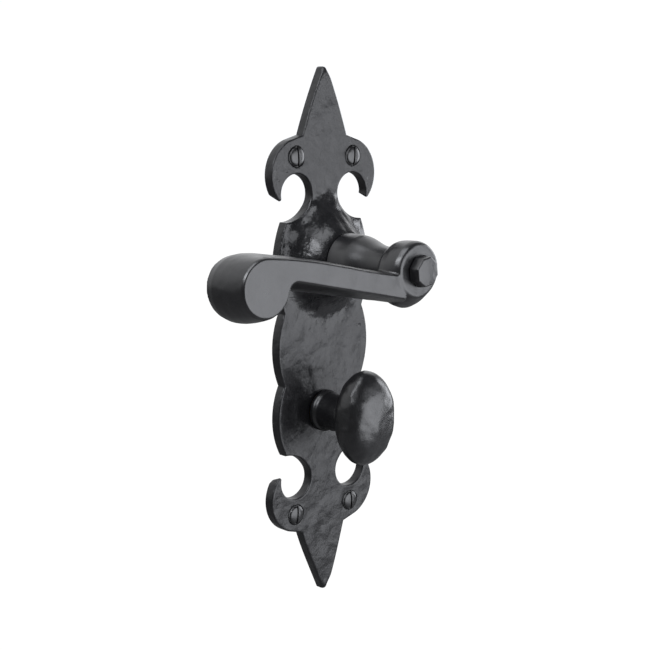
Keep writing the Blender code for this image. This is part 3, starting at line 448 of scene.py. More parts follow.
# %% [markdown]
# One half of a fleur is a short chain of arcs, from the blunt tip of the spear, round the fluke
# and its small point, through the notch and up to the plate's shoulder. The same half, turned
# over, makes the lower end. Three lobes lie between them, and the left side mirrors the right.

# %% Half a fleur-de-lys and the whole outline
SPEAR_BASE = (0.0109, PLATE_TIP - 0.0250)
SPEAR_BULGE = 0.0004
FLUKE = (0.0126, PLATE_TIP - 0.0392)
FLUKE_RADIUS = 0.0132
FLUKE_POINT = (0.02177, PLATE_TIP - 0.04755)
FLUKE_POINT_RADIUS = 0.0008
NOTCH = (0.0138, PLATE_TIP - 0.0461)
NOTCH_RADIUS = 0.0073
STEM_EASE = (0.0118, PLATE_TIP - 0.0541)
SHOULDER = (0.0188, PLATE_TIP - 0.0561)
PINCHES = ((0.0196, 0.0100), (0.0196, -0.0168))
LOBE_HALF = 0.0225
TIP_LEAN = 0.0013
LEAN_FROM = 0.072
TIP_Z = 0.0985


def fleur_half(cap_radius, cap_drop):
    """The right half of the upper fleur, from the middle of its tip to the shoulder."""
    points = around((0.0, PLATE_TIP - cap_drop - cap_radius), cap_radius, 90, 24, 8)
    middle = ((points[-1][0] + SPEAR_BASE[0]) / 2 + SPEAR_BULGE,
              (points[-1][1] + SPEAR_BASE[1]) / 2)
    points += arc(points[-1], middle, SPEAR_BASE, 16)
    points += around(FLUKE, FLUKE_RADIUS, 70, -42.3, 60)
    points += around(FLUKE_POINT, FLUKE_POINT_RADIUS, -42.3, -190.3, 10)[1:]
    points += around(NOTCH, NOTCH_RADIUS, -10.3, 222, 80)[1:]
    points += arc(points[-1], STEM_EASE, SHOULDER, 14)
    return points


def plate_outline():
    """The whole outline, clockwise from the upper tip. The lower tip leans to the right."""
    upper = fleur_half(0.0013, 0.0005)
    lower = [(x, -z) for x, z in reversed(fleur_half(0.0015, -0.0005))]
    right = list(upper)
    for start, end in zip((upper[-1], *PINCHES), (*PINCHES, lower[0])):
        right += arc(start, (LOBE_HALF, (start[1] + end[1]) / 2), end, 30)
    right += lower[1:]
    outline = right + [(-x, z) for x, z in reversed(right[1:-1])]
    return [(x + TIP_LEAN * smoothstep(LEAN_FROM, TIP_Z, -z), z) for x, z in outline]


OUTLINE = plate_outline()
RIM = kdtree.KDTree(len(OUTLINE))
for index, (x, z) in enumerate(OUTLINE):
    RIM.insert((x, 0, z), index)
RIM.balance()


def from_rim(x, z):
    """The distance from a place on the plate to the plate's outline."""
    here = Vector((x, z))
    index = RIM.find((x, 0, z))[1]
    nearest = 1.0
    for i in (index, (index + 1) % len(OUTLINE)):
        start, end = Vector(OUTLINE[i - 1]), Vector(OUTLINE[i])
        along = end - start
        share = min(1.0, max(0.0, (here - start).dot(along) / along.length_squared))
        nearest = min(nearest, (start + along * share - here).length)
    return nearest


print("plate outline", len(OUTLINE), "points")

# %% [markdown]
# The boss behind the lever is a bell that grows out of the plate. It is a height over the flat
# front: full at the top, steep below it and hollow at the foot, which runs out into the stem of
# the fleur. The hammer left lumps all over the front, deepest on the bell and on the stem.

# %% Heights over the plate's front
BOSS_HEIGHT = 0.0115
BOSS_TOP_RADIUS = 0.0110
BOSS_SPREAD = 0.0132
BOSS_CLIMB = 0.0060
BOSS_HOLLOW = 2.6
LIP = 0.0007
BROAD_MARKS = 0.00026
SMALL_MARKS = 0.00010
DEEP_MARKS = 0.00055
MARKS_SUNK = 0.00012
EDGE_ROUND = 0.0007
TIP_WEAR = 0.0013
TIP_WORN_FROM = 0.094
TIP_LIFT = 0.0014


def bell_height(x, z):
    """The bell: a flat top, a rounded lip and a hollow flank."""
    away = math.hypot(x, z - LEVER_AXIS.z)
    beyond = (away - BOSS_TOP_RADIUS) / LIP
    outside = LIP * (math.log1p(math.exp(beyond)) if beyond < 30 else beyond)
    upwards = max(0.0, (z - LEVER_AXIS.z) / max(away, LIP))
    share = min(1.0, outside / (BOSS_SPREAD + BOSS_CLIMB * upwards ** 4))
    return BOSS_HEIGHT * (1 - share) ** BOSS_HOLLOW


def lumps(x, z):
    """Hammer marks: broad ones everywhere, and deeper ones on the bell's flank and the stem."""
    up = z - LEVER_AXIS.z
    broad = noise.noise((x / 0.0060, 4.0, z / 0.0070)) * BROAD_MARKS
    small = noise.noise((x / 0.0024, 9.0, z / 0.0026)) * SMALL_MARKS
    rough = smoothstep(0.0275, 0.0190, math.hypot(x, up - 0.006)) * smoothstep(-0.004, 0.010, up)
    deep = noise.noise((x / 0.0036, 2.0, z / 0.0052)) * DEEP_MARKS * rough
    return broad + small + deep - MARKS_SUNK


def edge_drop(rim, z):
    """How far the rounded rim lies below the front. The two tips are worn rounder."""
    radius = EDGE_ROUND + TIP_WEAR * smoothstep(TIP_WORN_FROM, TIP_Z, abs(z))
    inward = min(1.0, rim / radius)
    return radius * (1 - math.sqrt(1 - (1 - inward) ** 2))


print("bell height at the axis", round(bell_height(0, LEVER_AXIS.z), 5))

# %% [markdown]
# The plate starts as its flat outline. Insets give the rim narrow rings for its rounding, a net
# of cuts gives the middle small squares, and then each point is lifted to its height. The walls
# are drawn back from the rim to the door, and the back is one flat face.

# %% The backplate
RINGS = (0.00005, 0.00012, 0.0002, 0.0003)
NET = 0.00075
SNAP = 0.00001
MARKS_FROM = 0.0002
MARKS_FULL = 0.0030
BELL_EDGE = 0.0024
FLUKE_TIP = Vector((0.0217, 0.0512))
FLUKE_TIP_REACH = 0.0030


def netted(shape, axis, low, high):
    """Cut a flat shape along lines at an even spacing."""
    for i in range(1, int((high - low) / NET)):
        bmesh.ops.bisect_plane(shape, geom=shape.verts[:] + shape.edges[:] + shape.faces[:],
                               dist=SNAP, plane_co=axis * (low + i * NET), plane_no=axis)


def draw_walls(shape):
    """Draw the rim back to the door. At each fluke's point the wall slopes, so that the point
    is shorter at the back."""
    rim_edges = [edge for edge in shape.edges if edge.is_boundary]
    drawn = bmesh.ops.extrude_edge_only(shape, edges=rim_edges)["geom"]
    for vert in [item for item in drawn if isinstance(item, bmesh.types.BMVert)]:
        here = Vector((abs(vert.co.x), abs(vert.co.z)))
        near = 1 - min(1.0, (here - FLUKE_TIP).length / FLUKE_TIP_REACH)
        vert.co.z += math.copysign(TIP_LIFT * near, vert.co.z)
        vert.co.y = 0
    back_edges = [item for item in drawn if isinstance(item, bmesh.types.BMEdge)]
    bmesh.ops.edgeloop_fill(shape, edges=back_edges)


def make_plate():
    shape = bmesh.new()
    middle = shape.faces.new([shape.verts.new((x, 0, z)) for x, z in OUTLINE])
    for ring in RINGS:
        bmesh.ops.inset_region(shape, faces=[middle], thickness=ring, use_even_offset=True,
                               use_boundary=True)
    half = max(x for x, z in OUTLINE)
    netted(shape, Vector((0, 0, 1)), -PLATE_TIP, PLATE_TIP)
    netted(shape, Vector((1, 0, 0)), -half, half)
    for vert in shape.verts:
        x, z = vert.co.x, vert.co.z
        rim = from_rim(x, z)
        bell = bell_height(x, z) * smoothstep(0.0, BELL_EDGE, rim)
        marks = lumps(x, z) * smoothstep(MARKS_FROM, MARKS_FULL, rim)
        vert.co.y = PLATE_FRONT + edge_drop(rim, z) - bell - marks
    draw_walls(shape)
    return piece("backplate_cast", shape)


plate = make_plate()
print("plate", len(plate.data.polygons), "faces")

# %% [markdown]
# Two turned bores let the lever's neck and the knob through the plate, with a pocket behind the
# bell for the spring and a recess for the turn's washers. Four countersinks take the screws.
# Booleans with spun cutters make them, because a hole that is cut last stays sharp and round.

# %% Holes through the plate
LEVER_BORE = 0.00902
POCKET_RADIUS = 0.01265
POCKET_DEPTH = 0.0100
TURN_BORE = 0.00744
TURN_RECESS = 0.00944
RECESS_DEPTH = 0.0013
SCREW_X = 0.0140
SCREW_Z = 0.06655
SCREW_HOLE = 0.0020
SINK_MOUTH = 0.0044
AHEAD_OF_BELL = -0.03
AHEAD_OF_PLATE = -0.01
THROUGH = 0.003
SCREW_PLACES = [(x, z) for z in (SCREW_Z, -SCREW_Z) for x in (-SCREW_X, SCREW_X)]

lever_hole = turned("lever_hole", [(0, AHEAD_OF_BELL), (LEVER_BORE, AHEAD_OF_BELL),
                                   (LEVER_BORE, -POCKET_DEPTH), (POCKET_RADIUS, -POCKET_DEPTH),
                                   (POCKET_RADIUS, THROUGH), (0, THROUGH)], LEVER_AXIS)
turn_hole = turned("turn_hole", [(0, AHEAD_OF_PLATE), (TURN_BORE, AHEAD_OF_PLATE),
                                 (TURN_BORE, -RECESS_DEPTH), (TURN_RECESS, -RECESS_DEPTH),
                                 (TURN_RECESS, THROUGH), (0, THROUGH)], TURN_AXIS)
sinks = [turned("sink", [(0, AHEAD_OF_PLATE), (SINK_MOUTH, AHEAD_OF_PLATE),
                         (SINK_MOUTH, PLATE_FRONT - 0.0003), (0.0039, PLATE_FRONT + 0.00015),
                         (0.00382, PLATE_FRONT + 0.0007), (SCREW_HOLE, PLATE_FRONT + 0.0024),
                         (SCREW_HOLE, THROUGH), (0, THROUGH)], Vector((x, 0, z)), 48)
         for x, z in SCREW_PLACES]
combine(plate, "DIFFERENCE", lever_hole, turn_hole, *sinks)
dress(plate, PLATE_IRON, "plate", "black_iron", "backplate", sharp=50)

# %% [markdown]
# A raised countersunk wood screw: a low dome with a slot, a cone, a shank that narrows to a
# point, and a thread. Spin with a step along its axis draws the thread as a spiral. The slots
# point a few degrees off upright, each its own way, as a fitter leaves them.

# %% Wood screws
HEAD_RADIUS = 0.0037
DOME_RADIUS = 0.0034
DOME_HEIGHT = 0.0010
PLAIN_RADIUS = 0.0017
SHANK_RADIUS = 0.00125
SCREW_TIP = PLATE_FRONT + 0.0127
THREAD_PITCH = 0.0016
THREAD_TURNS = 3.2
THREAD_RADIUS = 0.00172
THREAD_HALF = 0.00045
THREAD_ROOT = SHANK_RADIUS - 0.0002
THREAD_START = PLATE_FRONT + 0.0052
STEPS_PER_TURN = 24
SLOT_HALF = 0.00036
SLOT_FLOOR = PLATE_FRONT + 0.0001


def screw_body(centre):
    dome = [(DOME_RADIUS * math.sin(a), PLATE_FRONT - DOME_HEIGHT * math.cos(a) ** 0.8)
            for a in (math.pi / 2 * i / 10 for i in range(11))]
    profile = dome + [(DOME_RADIUS + 0.0002, PLATE_FRONT + 0.0001),
                      (HEAD_RADIUS - 0.0001, PLATE_FRONT + 0.0003),
                      (HEAD_RADIUS, PLATE_FRONT + 0.0007),
                      (PLAIN_RADIUS, PLATE_FRONT + 0.0022),
                      (PLAIN_RADIUS, PLATE_FRONT + 0.0042),
                      (SHANK_RADIUS, PLATE_FRONT + 0.0048),
                      (SHANK_RADIUS, SCREW_TIP - 0.0034), (0.0004, SCREW_TIP - 0.0003),
                      (0, SCREW_TIP)]
    return turned("screw_body", profile, centre, 48)


def screw_thread(centre):
    shape = bmesh.new()
    corners = ((THREAD_ROOT, THREAD_START - THREAD_HALF), (THREAD_RADIUS, THREAD_START),
               (THREAD_ROOT, THREAD_START + THREAD_HALF))
    tooth = shape.faces.new([shape.verts.new((centre.x + r, y, centre.z)) for r, y in corners])
    steps = round(THREAD_TURNS * STEPS_PER_TURN)
    bmesh.ops.spin(shape, geom=[tooth], cent=centre, axis=(0, 1, 0),
                   angle=math.tau * THREAD_TURNS, steps=steps,
                   dvec=(0, THREAD_PITCH * THREAD_TURNS / steps, 0))
    return piece("screw_thread", shape)


def make_screw(name, x, z, tilt):
    centre = Vector((x, 0, z))
    screw = combine(screw_body(centre), "UNION", screw_thread(centre))
    slot = block("slot", (-SLOT_HALF, PLATE_FRONT - 0.003, -0.006),
                 (SLOT_HALF, SLOT_FLOOR, 0.006))
    slot.data.transform(Matrix.Translation(centre) @ Matrix.Rotation(math.radians(tilt), 4, "Y"))
    combine(screw, "DIFFERENCE", slot)
    screw.name = "wood_" + name
    dress(screw, SCREW_STEEL, "plate", "black_steel", name, sharp=30)


SCREW_NAMES = ("screw_top_left", "screw_top_right", "screw_bottom_left", "screw_bottom_right")
for name, (x, z), tilt in zip(SCREW_NAMES, SCREW_PLACES, (-4, 3, 5, -2)):
    make_screw(name, x, z, tilt)

# %% [markdown]
# The lever is one casting: a flat-faced arm that swings up into a scroll, with a round eye at
# the other end. The face is flat, the back is wider than the face, and the rims are soft. Its
# outline is drawn first: a bending top line, a round scroll and a small hollow under the scroll.

# %% The lever's outline
LEVER_FRONT = -0.0510
LEVER_BACK = -0.0410
BULB = (-0.0678, -0.0003)
BULB_RADIUS = 0.0095
EYE_RADIUS = 0.0098
HOOK_RADIUS = 0.0030
ARM_TOP = -0.0006
ARM_BOTTOM = -0.0093


def arm_top(x):
    """The height of the arm's upper line, which climbs from the eye to the bulb."""
    share = min(1.0, max(0.0, (x + EYE_RADIUS) / (BULB[0] + EYE_RADIUS)))
    rise = BULB[1] + BULB_RADIUS - ARM_TOP
    bend = 0.62 * math.sin(share * math.pi / 2) ** 1.3 + 0.38 * share ** 1.1
    return ARM_TOP + rise * bend


def lever_outline():
    """The arm's outline about the lever's axis, clockwise from above the bulb."""
    root_x = -0.6 * EYE_RADIUS
    steps = 60
    along = [BULB[0] + (root_x - BULB[0]) * i / steps for i in range(steps + 1)]
    top = [(x, arm_top(x)) for x in along]
    hook = (BULB[0] + BULB_RADIUS + HOOK_RADIUS, BULB[1] + 0.0010 - HOOK_RADIUS)
    curl = around(hook, HOOK_RADIUS, 80, 165, 14)
    start = math.degrees(math.atan2(curl[-1][1] - BULB[1], curl[-1][0] - BULB[0])) - 6
    scroll = around(BULB, BULB_RADIUS, start, -268, 72)
    return top + [(root_x, ARM_BOTTOM)] + curl + scroll


def normals_of(points):
    """The outward direction at each point of a clockwise outline."""
    found = []
    for i, point in enumerate(points):
        before = Vector(point) - Vector(points[i - 1])
        after = Vector(points[(i + 1) % len(points)]) - Vector(point)
        along = before.normalized() + after.normalized()
        found.append(Vector((-along.y, along.x)).normalized())
    return found


ARM = lever_outline()
ARM_NORMALS = normals_of(ARM)
print("lever outline", len(ARM), "points")

# %% [markdown]
# Behind its flat face the arm grows wider, most of all underneath, as a casting does so that it
# leaves its mould. Each ring is the outline moved out by its own normals, and bridging the rings
# makes the sides.

# %% The arm
FLARE_TOP = 0.0006
FLARE_ROOT = 0.0052
FLARE_BULB = 0.0026
FLARE_END = 0.0021
DEPTHS = (0.0, 0.02, 0.06, 0.2, 0.4, 0.6, 0.8, 0.94, 1)
ARM_ROOT = 0.0106
BACK_TAPER = 0.0055


def flare(x, normal):
    """How far the lever's back stands outside its face at a point of the outline."""
    share = min(1.0, max(0.0, x / BULB[0]))
    below = FLARE_ROOT + (FLARE_BULB - FLARE_ROOT) * share
    return (FLARE_TOP * max(0.0, normal.y) ** 2 + below * max(0.0, -normal.y) ** 2
            + FLARE_END * share * max(0.0, -normal.x) ** 2)


def arm_ring(shape, depth):
    """One ring of the arm: depth is 0 at the face and 1 at the back."""
    swell = math.sin(math.pi / 2 * min(1.0, depth * 1.25))
    tuck = 0.0006 * smoothstep(0.80, 1.0, depth) + 0.0003 * (1 - smoothstep(0.0, 0.06, depth))
    ring = []
    for (x, z), normal in zip(ARM, ARM_NORMALS):
        grow = flare(x, normal) * swell - tuck
        px, pz = x + normal.x * grow, z + normal.y * grow
        share = max(0.0, (px + ARM_ROOT) / (BULB[0] + ARM_ROOT))
        back = LEVER_BACK + BACK_TAPER * share
        ring.append(shape.verts.new((px, LEVER_FRONT + (back - LEVER_FRONT) * depth,
                                     LEVER_AXIS.z + pz)))
    return ring


def make_arm():
    shape = bmesh.new()
    rings = [arm_ring(shape, depth) for depth in DEPTHS]
    loops = [[shape.edges.new((ring[i - 1], vert)) for i, vert in enumerate(ring)]
             for ring in rings]
    for near, far in zip(loops, loops[1:]):
        bmesh.ops.bridge_loops(shape, edges=near + far)
    shape.faces.new(rings[0])
    shape.faces.new(reversed(rings[-1]))
    bmesh.ops.triangulate(shape, faces=[f for f in shape.faces if len(f.verts) > 4])
    return piece("lever_casting", shape)


# %% [markdown]
# The eye is a spun barrel round the pin that sinks a little towards the back. It is joined to
# the arm by one skin over both, so that the seam is a soft fillet as in a mould, and the pin's
# hole is cut last.

# %% The eye and the whole lever
EYE_SAG = 0.0017
PIN_HOLE = 0.00405
LEVER_VOXEL = 0.00029


def make_eye():
    """The barrel round the pin: a proud rounded ring in front, fullest towards the back."""
    rows = ((0, -0.00040), (0.0086, -0.00040), (0.0094, -0.00012), (0.0099, 0.0006),
            (0.0106, 0.0018), (0.0113, 0.0036), (0.0118, 0.0060), (0.0115, 0.0082),
            (0.0106, 0.0100), (0, 0.0100))
    eye = turned("eye", [(radius, LEVER_FRONT + y) for radius, y in rows], LEVER_AXIS, 120)
    shape = bmesh.new()
    shape.from_mesh(eye.data)
    for vert in shape.verts:
        vert.co.z -= EYE_SAG * smoothstep(0.0, 0.0060, vert.co.y - LEVER_FRONT)
    shape.to_mesh(eye.data)
    shape.free()
    return eye


lever = gather("lever_casting", make_arm(), make_eye())
cast_skin(lever, LEVER_VOXEL, 2)
hammer(lever, 0.00014, 0.0075, 2.0)
hammer(lever, 0.00004, 0.0022, 5.0)
pin_hole = turned("pin_hole", [(0, -0.06), (PIN_HOLE, -0.06), (PIN_HOLE, -0.03), (0, -0.03)],
                  LEVER_AXIS)
combine(lever, "DIFFERENCE", pin_hole)
dress(lever, LEVER_IRON, "lever", "black_iron", "lever_arm", sharp=50)

# %% [markdown]
# The pin that holds the lever on its neck has a head hammered to a rough octagon. A cone with
# eight sides, bevelled, with its corners nudged a little, gives that uneven hand-made look.

# %% The eye pin
PIN_RADIUS = 0.0040
PIN_HEAD_BACK = 0.0059
PIN_HEAD_FRONT = 0.0053
PIN_HEAD_HEIGHT = 0.0038
PIN_HEAD_TURN = 14
PIN_BEVEL = 0.00045
PIN_NUDGE = 0.00035


def make_eye_pin():
    face = LEVER_FRONT - 0.0007
    shape = bmesh.new()
    bmesh.ops.create_cone(shape, cap_ends=True, segments=8, radius1=PIN_HEAD_BACK,
                          radius2=PIN_HEAD_FRONT, depth=PIN_HEAD_HEIGHT)
    for angle, axis in ((90, "X"), (PIN_HEAD_TURN, "Y")):
        bmesh.ops.rotate(shape, cent=(0, 0, 0), verts=shape.verts,
                         matrix=Matrix.Rotation(math.radians(angle), 3, axis))
    bmesh.ops.translate(shape, vec=(0, face - PIN_HEAD_HEIGHT / 2, LEVER_AXIS.z),
                        verts=shape.verts)
    for vert in shape.verts:
        nudge = noise.noise_vector(vert.co * 900.0) * PIN_NUDGE
        vert.co += Vector((nudge.x, 0, nudge.z))
    bmesh.ops.bevel(shape, geom=shape.edges[:], offset=PIN_BEVEL, offset_type="OFFSET",
                    segments=3, profile=0.5, affect="EDGES", material=-1)
    head = piece("eye_pin_forged", shape)
    shank = turned("shank", [(0, face - 0.002), (PIN_RADIUS, face - 0.002),
                             (PIN_RADIUS, -0.0356), (PIN_RADIUS - 0.0004, -0.0352),
                             (0, -0.0352)], LEVER_AXIS, 48)
    return combine(head, "UNION", shank)


dress(make_eye_pin(), KNOB_IRON, "lever", "black_iron", "eye_pin", sharp=45)

# %% [markdown]
# The neck is turned: a collar that sits on the bell, a hollow waist up to the eye, and a tail
# with two flats and a square socket that turns in the bush. A spun profile gives all of it, and
# the socket, the flats and the holes for the pin and the grub screw are cut afterwards.

# %% The lever's neck
COLLAR_BACK = -0.0157
COLLAR_LENGTH = 0.0068
COLLAR_RADIUS = 0.0106
WAIST_RADIUS = 0.0070
TAIL_RADIUS = 0.0076
GROOVE_RADIUS = 0.0070
LEVER_SOCKET_HALF = 0.0041
FLAT_HALF = 0.0066
GRUB_RADIUS = 0.00255
GRUB_Y = -0.0191


def square_socket(axis, half, front, back):
    """The cutter of a square socket on a line along Y."""
    return block("socket", (axis.x - half, front, axis.z - half),
                 (axis.x + half, back, axis.z + half))


def grub_hole(radius, reach, y, axis):
    """The cutter of a round hole that enters from below and ends on the axis."""
    hole = turned("grub_hole", [(0, 0), (radius, 0), (radius, reach), (0, reach)],
                  Vector((0, 0, 0)), 32)
    hole.data.transform(Matrix.Translation((axis.x, y, axis.z))
                        @ Matrix.Rotation(-math.pi / 2, 4, "X"))
    return hole


def neck_profile():
    front = LEVER_BACK + 0.0003
    waist_back = COLLAR_BACK - COLLAR_LENGTH
    steps = 24
    profile = [(0, front)]
    for i in range(steps + 1):
        share = i / steps
        bend = (1 - math.cos(math.pi * share ** 1.5)) / 2
        profile.append((WAIST_RADIUS + (COLLAR_RADIUS - 0.0002 - WAIST_RADIUS) * bend,
                        front + (waist_back - front) * share))
    return profile + [
        (COLLAR_RADIUS, waist_back + 0.0012), (COLLAR_RADIUS, COLLAR_BACK - 0.0006),
        (COLLAR_RADIUS - 0.0004, COLLAR_BACK - 0.0001), (COLLAR_RADIUS - 0.0008, COLLAR_BACK),
        (TAIL_RADIUS, COLLAR_BACK), (TAIL_RADIUS, -0.00145), (GROOVE_RADIUS, -0.00145),
        (GROOVE_RADIUS, -0.00045), (TAIL_RADIUS, -0.00045), (TAIL_RADIUS, 0.0007),
        (TAIL_RADIUS - 0.0003, 0.0010), (0, 0.0010)]


def make_neck():
    neck = turned("lever_neck_turned", neck_profile(), LEVER_AXIS, 120)
    cutters = [square_socket(LEVER_AXIS, LEVER_SOCKET_HALF, -0.0260, 0.004)]
    for side in (-1, 1):
        low, high = sorted((side * FLAT_HALF, side * 0.012))
        cutters.append(block("flat", (low, -0.0047, LEVER_AXIS.z - 0.012),
                             (high, 0.004, LEVER_AXIS.z + 0.012)))
    cutters.append(turned("pin_hole", [(0, -0.05), (PIN_HOLE, -0.05), (PIN_HOLE, -0.0349),
                                       (0, -0.0349)], LEVER_AXIS, 48))
    cutters.append(grub_hole(GRUB_RADIUS, 0.013, GRUB_Y, LEVER_AXIS))
    return combine(neck, "DIFFERENCE", *cutters)


dress(make_neck(), LEVER_IRON, "lever", "black_iron", "lever_neck", sharp=35)

# %% [markdown]
# The thumb turn's knob was forged by hand: an egg that stands upright, a little flattened by
# the last blows, on a short round neck with a collar. Its head is a sphere made a little boxy
# across and scaled, joined to the spun neck, and hammered after the skin has blended the two.

# %% The knob
KNOB_CENTRE = Vector((0, -0.0255, TURN_AXIS.z + 0.0007))
KNOB_HALF = Vector((0.01175, 0.0083, 0.0176))
BOXY = 2.5
KNOB_VOXEL = 0.00032
TURN_TAIL = 0.0060
TURN_GROOVE = 0.0054
TURN_SOCKET_HALF = 0.00255
TURN_GRUB_RADIUS = 0.00205
TURN_GRUB_Y = -0.0101


def make_knob():
    shape = bmesh.new()
    bmesh.ops.create_uvsphere(shape, u_segments=96, v_segments=64, radius=1)
    for vert in shape.verts:
        flat = (abs(vert.co.x) ** BOXY + abs(vert.co.y) ** BOXY) ** (1 / BOXY)
        vert.co /= math.hypot(flat, vert.co.z)
    bmesh.ops.scale(shape, vec=KNOB_HALF, verts=shape.verts)
    bmesh.ops.translate(shape, vec=KNOB_CENTRE, verts=shape.verts)
    head = piece("knob_forged", shape)
    stem = turned("stem", [(0, KNOB_CENTRE.y), (0.0070, KNOB_CENTRE.y), (0.0068, -0.0120),
                           (0.0070, -0.0068), (0.0075, -0.0063), (0.00788, -0.0058),
                           (0.00788, -0.0045), (0.0074, -0.0042), (TURN_TAIL, -0.0042),
                           (TURN_TAIL, 0.0025), (TURN_GROOVE, 0.0025), (TURN_GROOVE, 0.0035),
                           (TURN_TAIL, 0.0035), (TURN_TAIL, 0.0047), (0.0057, 0.0050),
                           (0, 0.0050)], TURN_AXIS)
    return cast_skin(gather("knob_forged", head, stem), KNOB_VOXEL, 3)


def above_collar(place):
    """1 on the knob's head, and 0 on the neck and the tail, which stay round."""
    return smoothstep(-0.0150, -0.0185, place.y)


knob = make_knob()
hammer(knob, 0.00042, 0.0080, 1.3, above_collar)
hammer(knob, 0.00022, 0.0034, 3.0, above_collar)
combine(knob, "DIFFERENCE", square_socket(TURN_AXIS, TURN_SOCKET_HALF, -0.0160, 0.008),
        grub_hole(TURN_GRUB_RADIUS, 0.010, TURN_GRUB_Y, TURN_AXIS))
dress(knob, KNOB_IRON, "turn", "black_iron", "turn_knob", sharp=50)

# %% [markdown]
# The studio: a pale floor well below the handle, a room that is dark in front and lighter
# behind and above, and five soft boxes. Black iron shows mostly what it mirrors, so bright
# surfaces round the handle matter more than strong lamps. The floor is a plain matt sheet that
# looks white to the camera.

# %% Floor
FLOOR_Z = -0.32
FLOOR_HALF = 4.0
WHITE = 1.05

floor_shape = bmesh.new()
bmesh.ops.create_grid(floor_shape, x_segments=1, y_segments=1, size=FLOOR_HALF)
bmesh.ops.translate(floor_shape, vec=(0, 0, FLOOR_Z), verts=floor_shape.verts)
floor = piece("studio_floor", floor_shape)
floor_finish = Finish("pale floor", Base_Color=(0.2, 0.2, 0.2, 1), Roughness=0.9)
lit = floor_finish.node("ShaderNodeEmission", Color=(1, 1, 1, 1), Strength=WHITE)
seen = floor_finish.node("ShaderNodeLightPath").outputs["Is Camera Ray"]
shown = floor_finish.node("ShaderNodeMixShader")
for slot, value in zip(shown.inputs, (seen, floor_finish.shader.outputs["BSDF"],
                                      lit.outputs["Emission"])):
    floor_finish.fill(slot, value)
surface = floor_finish.tree.nodes["Material Output"].inputs["Surface"]
floor_finish.fill(surface, shown.outputs["Shader"])
floor.data.materials.append(floor_finish.material)
print("floor at z", FLOOR_Z)

# %% [markdown]
# The room's light is a shade of grey for each direction. A face seen at a low angle mirrors what
# is behind it, so the room is lighter at the back and above. The camera itself sees it nearly
# white all round.

# %% Room light
world = bpy.data.worlds.new("studio")
bpy.context.scene.world = world
world.use_nodes = True
sky = world.node_tree.nodes["Background"]
toward = world.node_tree.nodes.new("ShaderNodeSeparateXYZ")
direction = world.node_tree.nodes.new("ShaderNodeTexCoord").outputs["Generated"]
world.node_tree.links.new(direction, toward.inputs[0])


def glow(axis, low, high):
    """A share that rises from 0 to 1 towards one side of the room."""
    rise = world.node_tree.nodes.new("ShaderNodeMapRange")
    rise.interpolation_type = "SMOOTHSTEP"
    world.node_tree.links.new(toward.outputs[axis], rise.inputs["Value"])
    rise.inputs["From Min"].default_value = low
    rise.inputs["From Max"].default_value = high
    return Signal(world.node_tree, rise.outputs["Result"])


camera_ray = world.node_tree.nodes.new("ShaderNodeLightPath").outputs["Is Camera Ray"]
behind = glow("Y", 0.0, 0.5)
shade = behind * 0.55 + behind * glow("Z", -0.05, 0.65) * 0.65 + 0.12
shade = shade + behind * glow("X", 0.1, 0.8) * 0.4
strength = shade + (WHITE - shade) * Signal(world.node_tree, camera_ray)
world.node_tree.links.new(strength.socket, sky.inputs["Strength"])
sky.inputs["Color"].default_value = (0.97, 0.98, 1, 1)
print("room light", len(world.node_tree.nodes), "nodes")

# %% [markdown]
# A soft box is an area light, which has an even face and soft edges to its shadows. A wide one
# stands in front with a smaller one inside it, and the others stand above, high on the left and
# on the right. The camera doesn't see them, but the iron does.

# %% Soft boxes
MIDDLE = Vector((0, -0.02, 0.01))
BLUISH = (0.93, 0.95, 1.0)


def direction_of(turn, rise):
    """A direction: turn degrees from straight in front towards the right, rise upwards."""
    turn, rise = math.radians(turn), math.radians(rise)
    return Vector((math.sin(turn) * math.cos(rise), -math.cos(turn) * math.cos(rise),
                   math.sin(rise)))


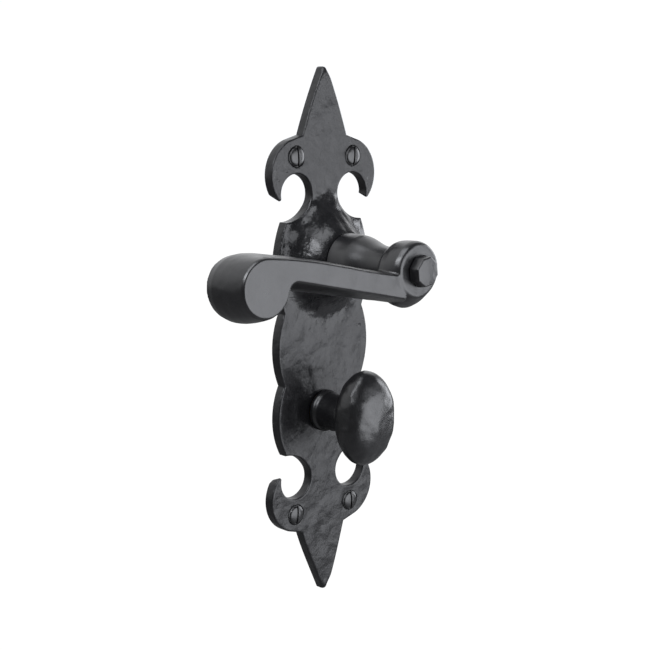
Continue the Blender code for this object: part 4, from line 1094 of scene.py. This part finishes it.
def soft_box(name, offset, size, radiance):
    """An area light that faces the handle. Its power follows from its size and radiance."""
    light = bpy.data.lights.new(name, "AREA")
    light.shape = "RECTANGLE"
    light.size, light.size_y = size
    light.energy = radiance * math.pi * size[0] * size[1]
    light.color = BLUISH
    lamp = bpy.data.objects.new(name, light)
    lamp.location = MIDDLE + offset
    lamp.rotation_mode = "QUATERNION"
    lamp.rotation_quaternion = (-offset).to_track_quat("-Z", "Y")
    lamp.visible_camera = False
    bpy.context.scene.collection.objects.link(lamp)
    print(name, "gives", round(light.energy, 2), "W")


soft_box("front_box", direction_of(17, -5) * 0.65, (0.90, 0.58), 3.8)
soft_box("core_box", direction_of(13, -3) * 0.62, (0.26, 0.40), 1.2)
soft_box("overhead_box", Vector((-0.20, -0.08, 0.57)), (0.34, 0.34), 5.0)
soft_box("left_box", Vector((-0.45, -0.10, 0.36)), (0.22, 0.22), 13.0)
soft_box("right_box", direction_of(78, 5) * 0.65, (0.30, 0.40), 5.5)

# %% [markdown]
# The camera stands to the left of the handle, a little above it, and looks slightly down. Its
# three directions are worked out from two angles and a small roll, and a matrix made of them
# turns the camera without any rounding of angles. The lens is a short telephoto.

# %% Camera
AZIMUTH, ELEVATION, ROLL = (math.radians(v) for v in (-43.095, 9.361, 0.315))
CAMERA_PLACE = (-0.3107, -0.3362, 0.0791)
FOCAL_LENGTH = 68.43
SENSOR_WIDTH = 36.0

back = Vector((math.sin(AZIMUTH) * math.cos(ELEVATION),
               -math.cos(AZIMUTH) * math.cos(ELEVATION), math.sin(ELEVATION)))
right = (-back).cross(Vector((0, 0, 1))).normalized()
up = right.cross(-back)
across = right * math.cos(ROLL) + up * math.sin(ROLL)
upright = up * math.cos(ROLL) - right * math.sin(ROLL)
lens = bpy.data.cameras.new("camera")
lens.lens = FOCAL_LENGTH
lens.sensor_width = SENSOR_WIDTH
camera = bpy.data.objects.new("camera", lens)
stand = Matrix((across, upright, back)).transposed().to_4x4()
camera.matrix_world = Matrix.Translation(CAMERA_PLACE) @ stand
bpy.context.scene.collection.objects.link(camera)
bpy.context.scene.camera = camera
bpy.context.scene.view_settings.view_transform = "Standard"
print("camera at", [round(v, 4) for v in camera.location])
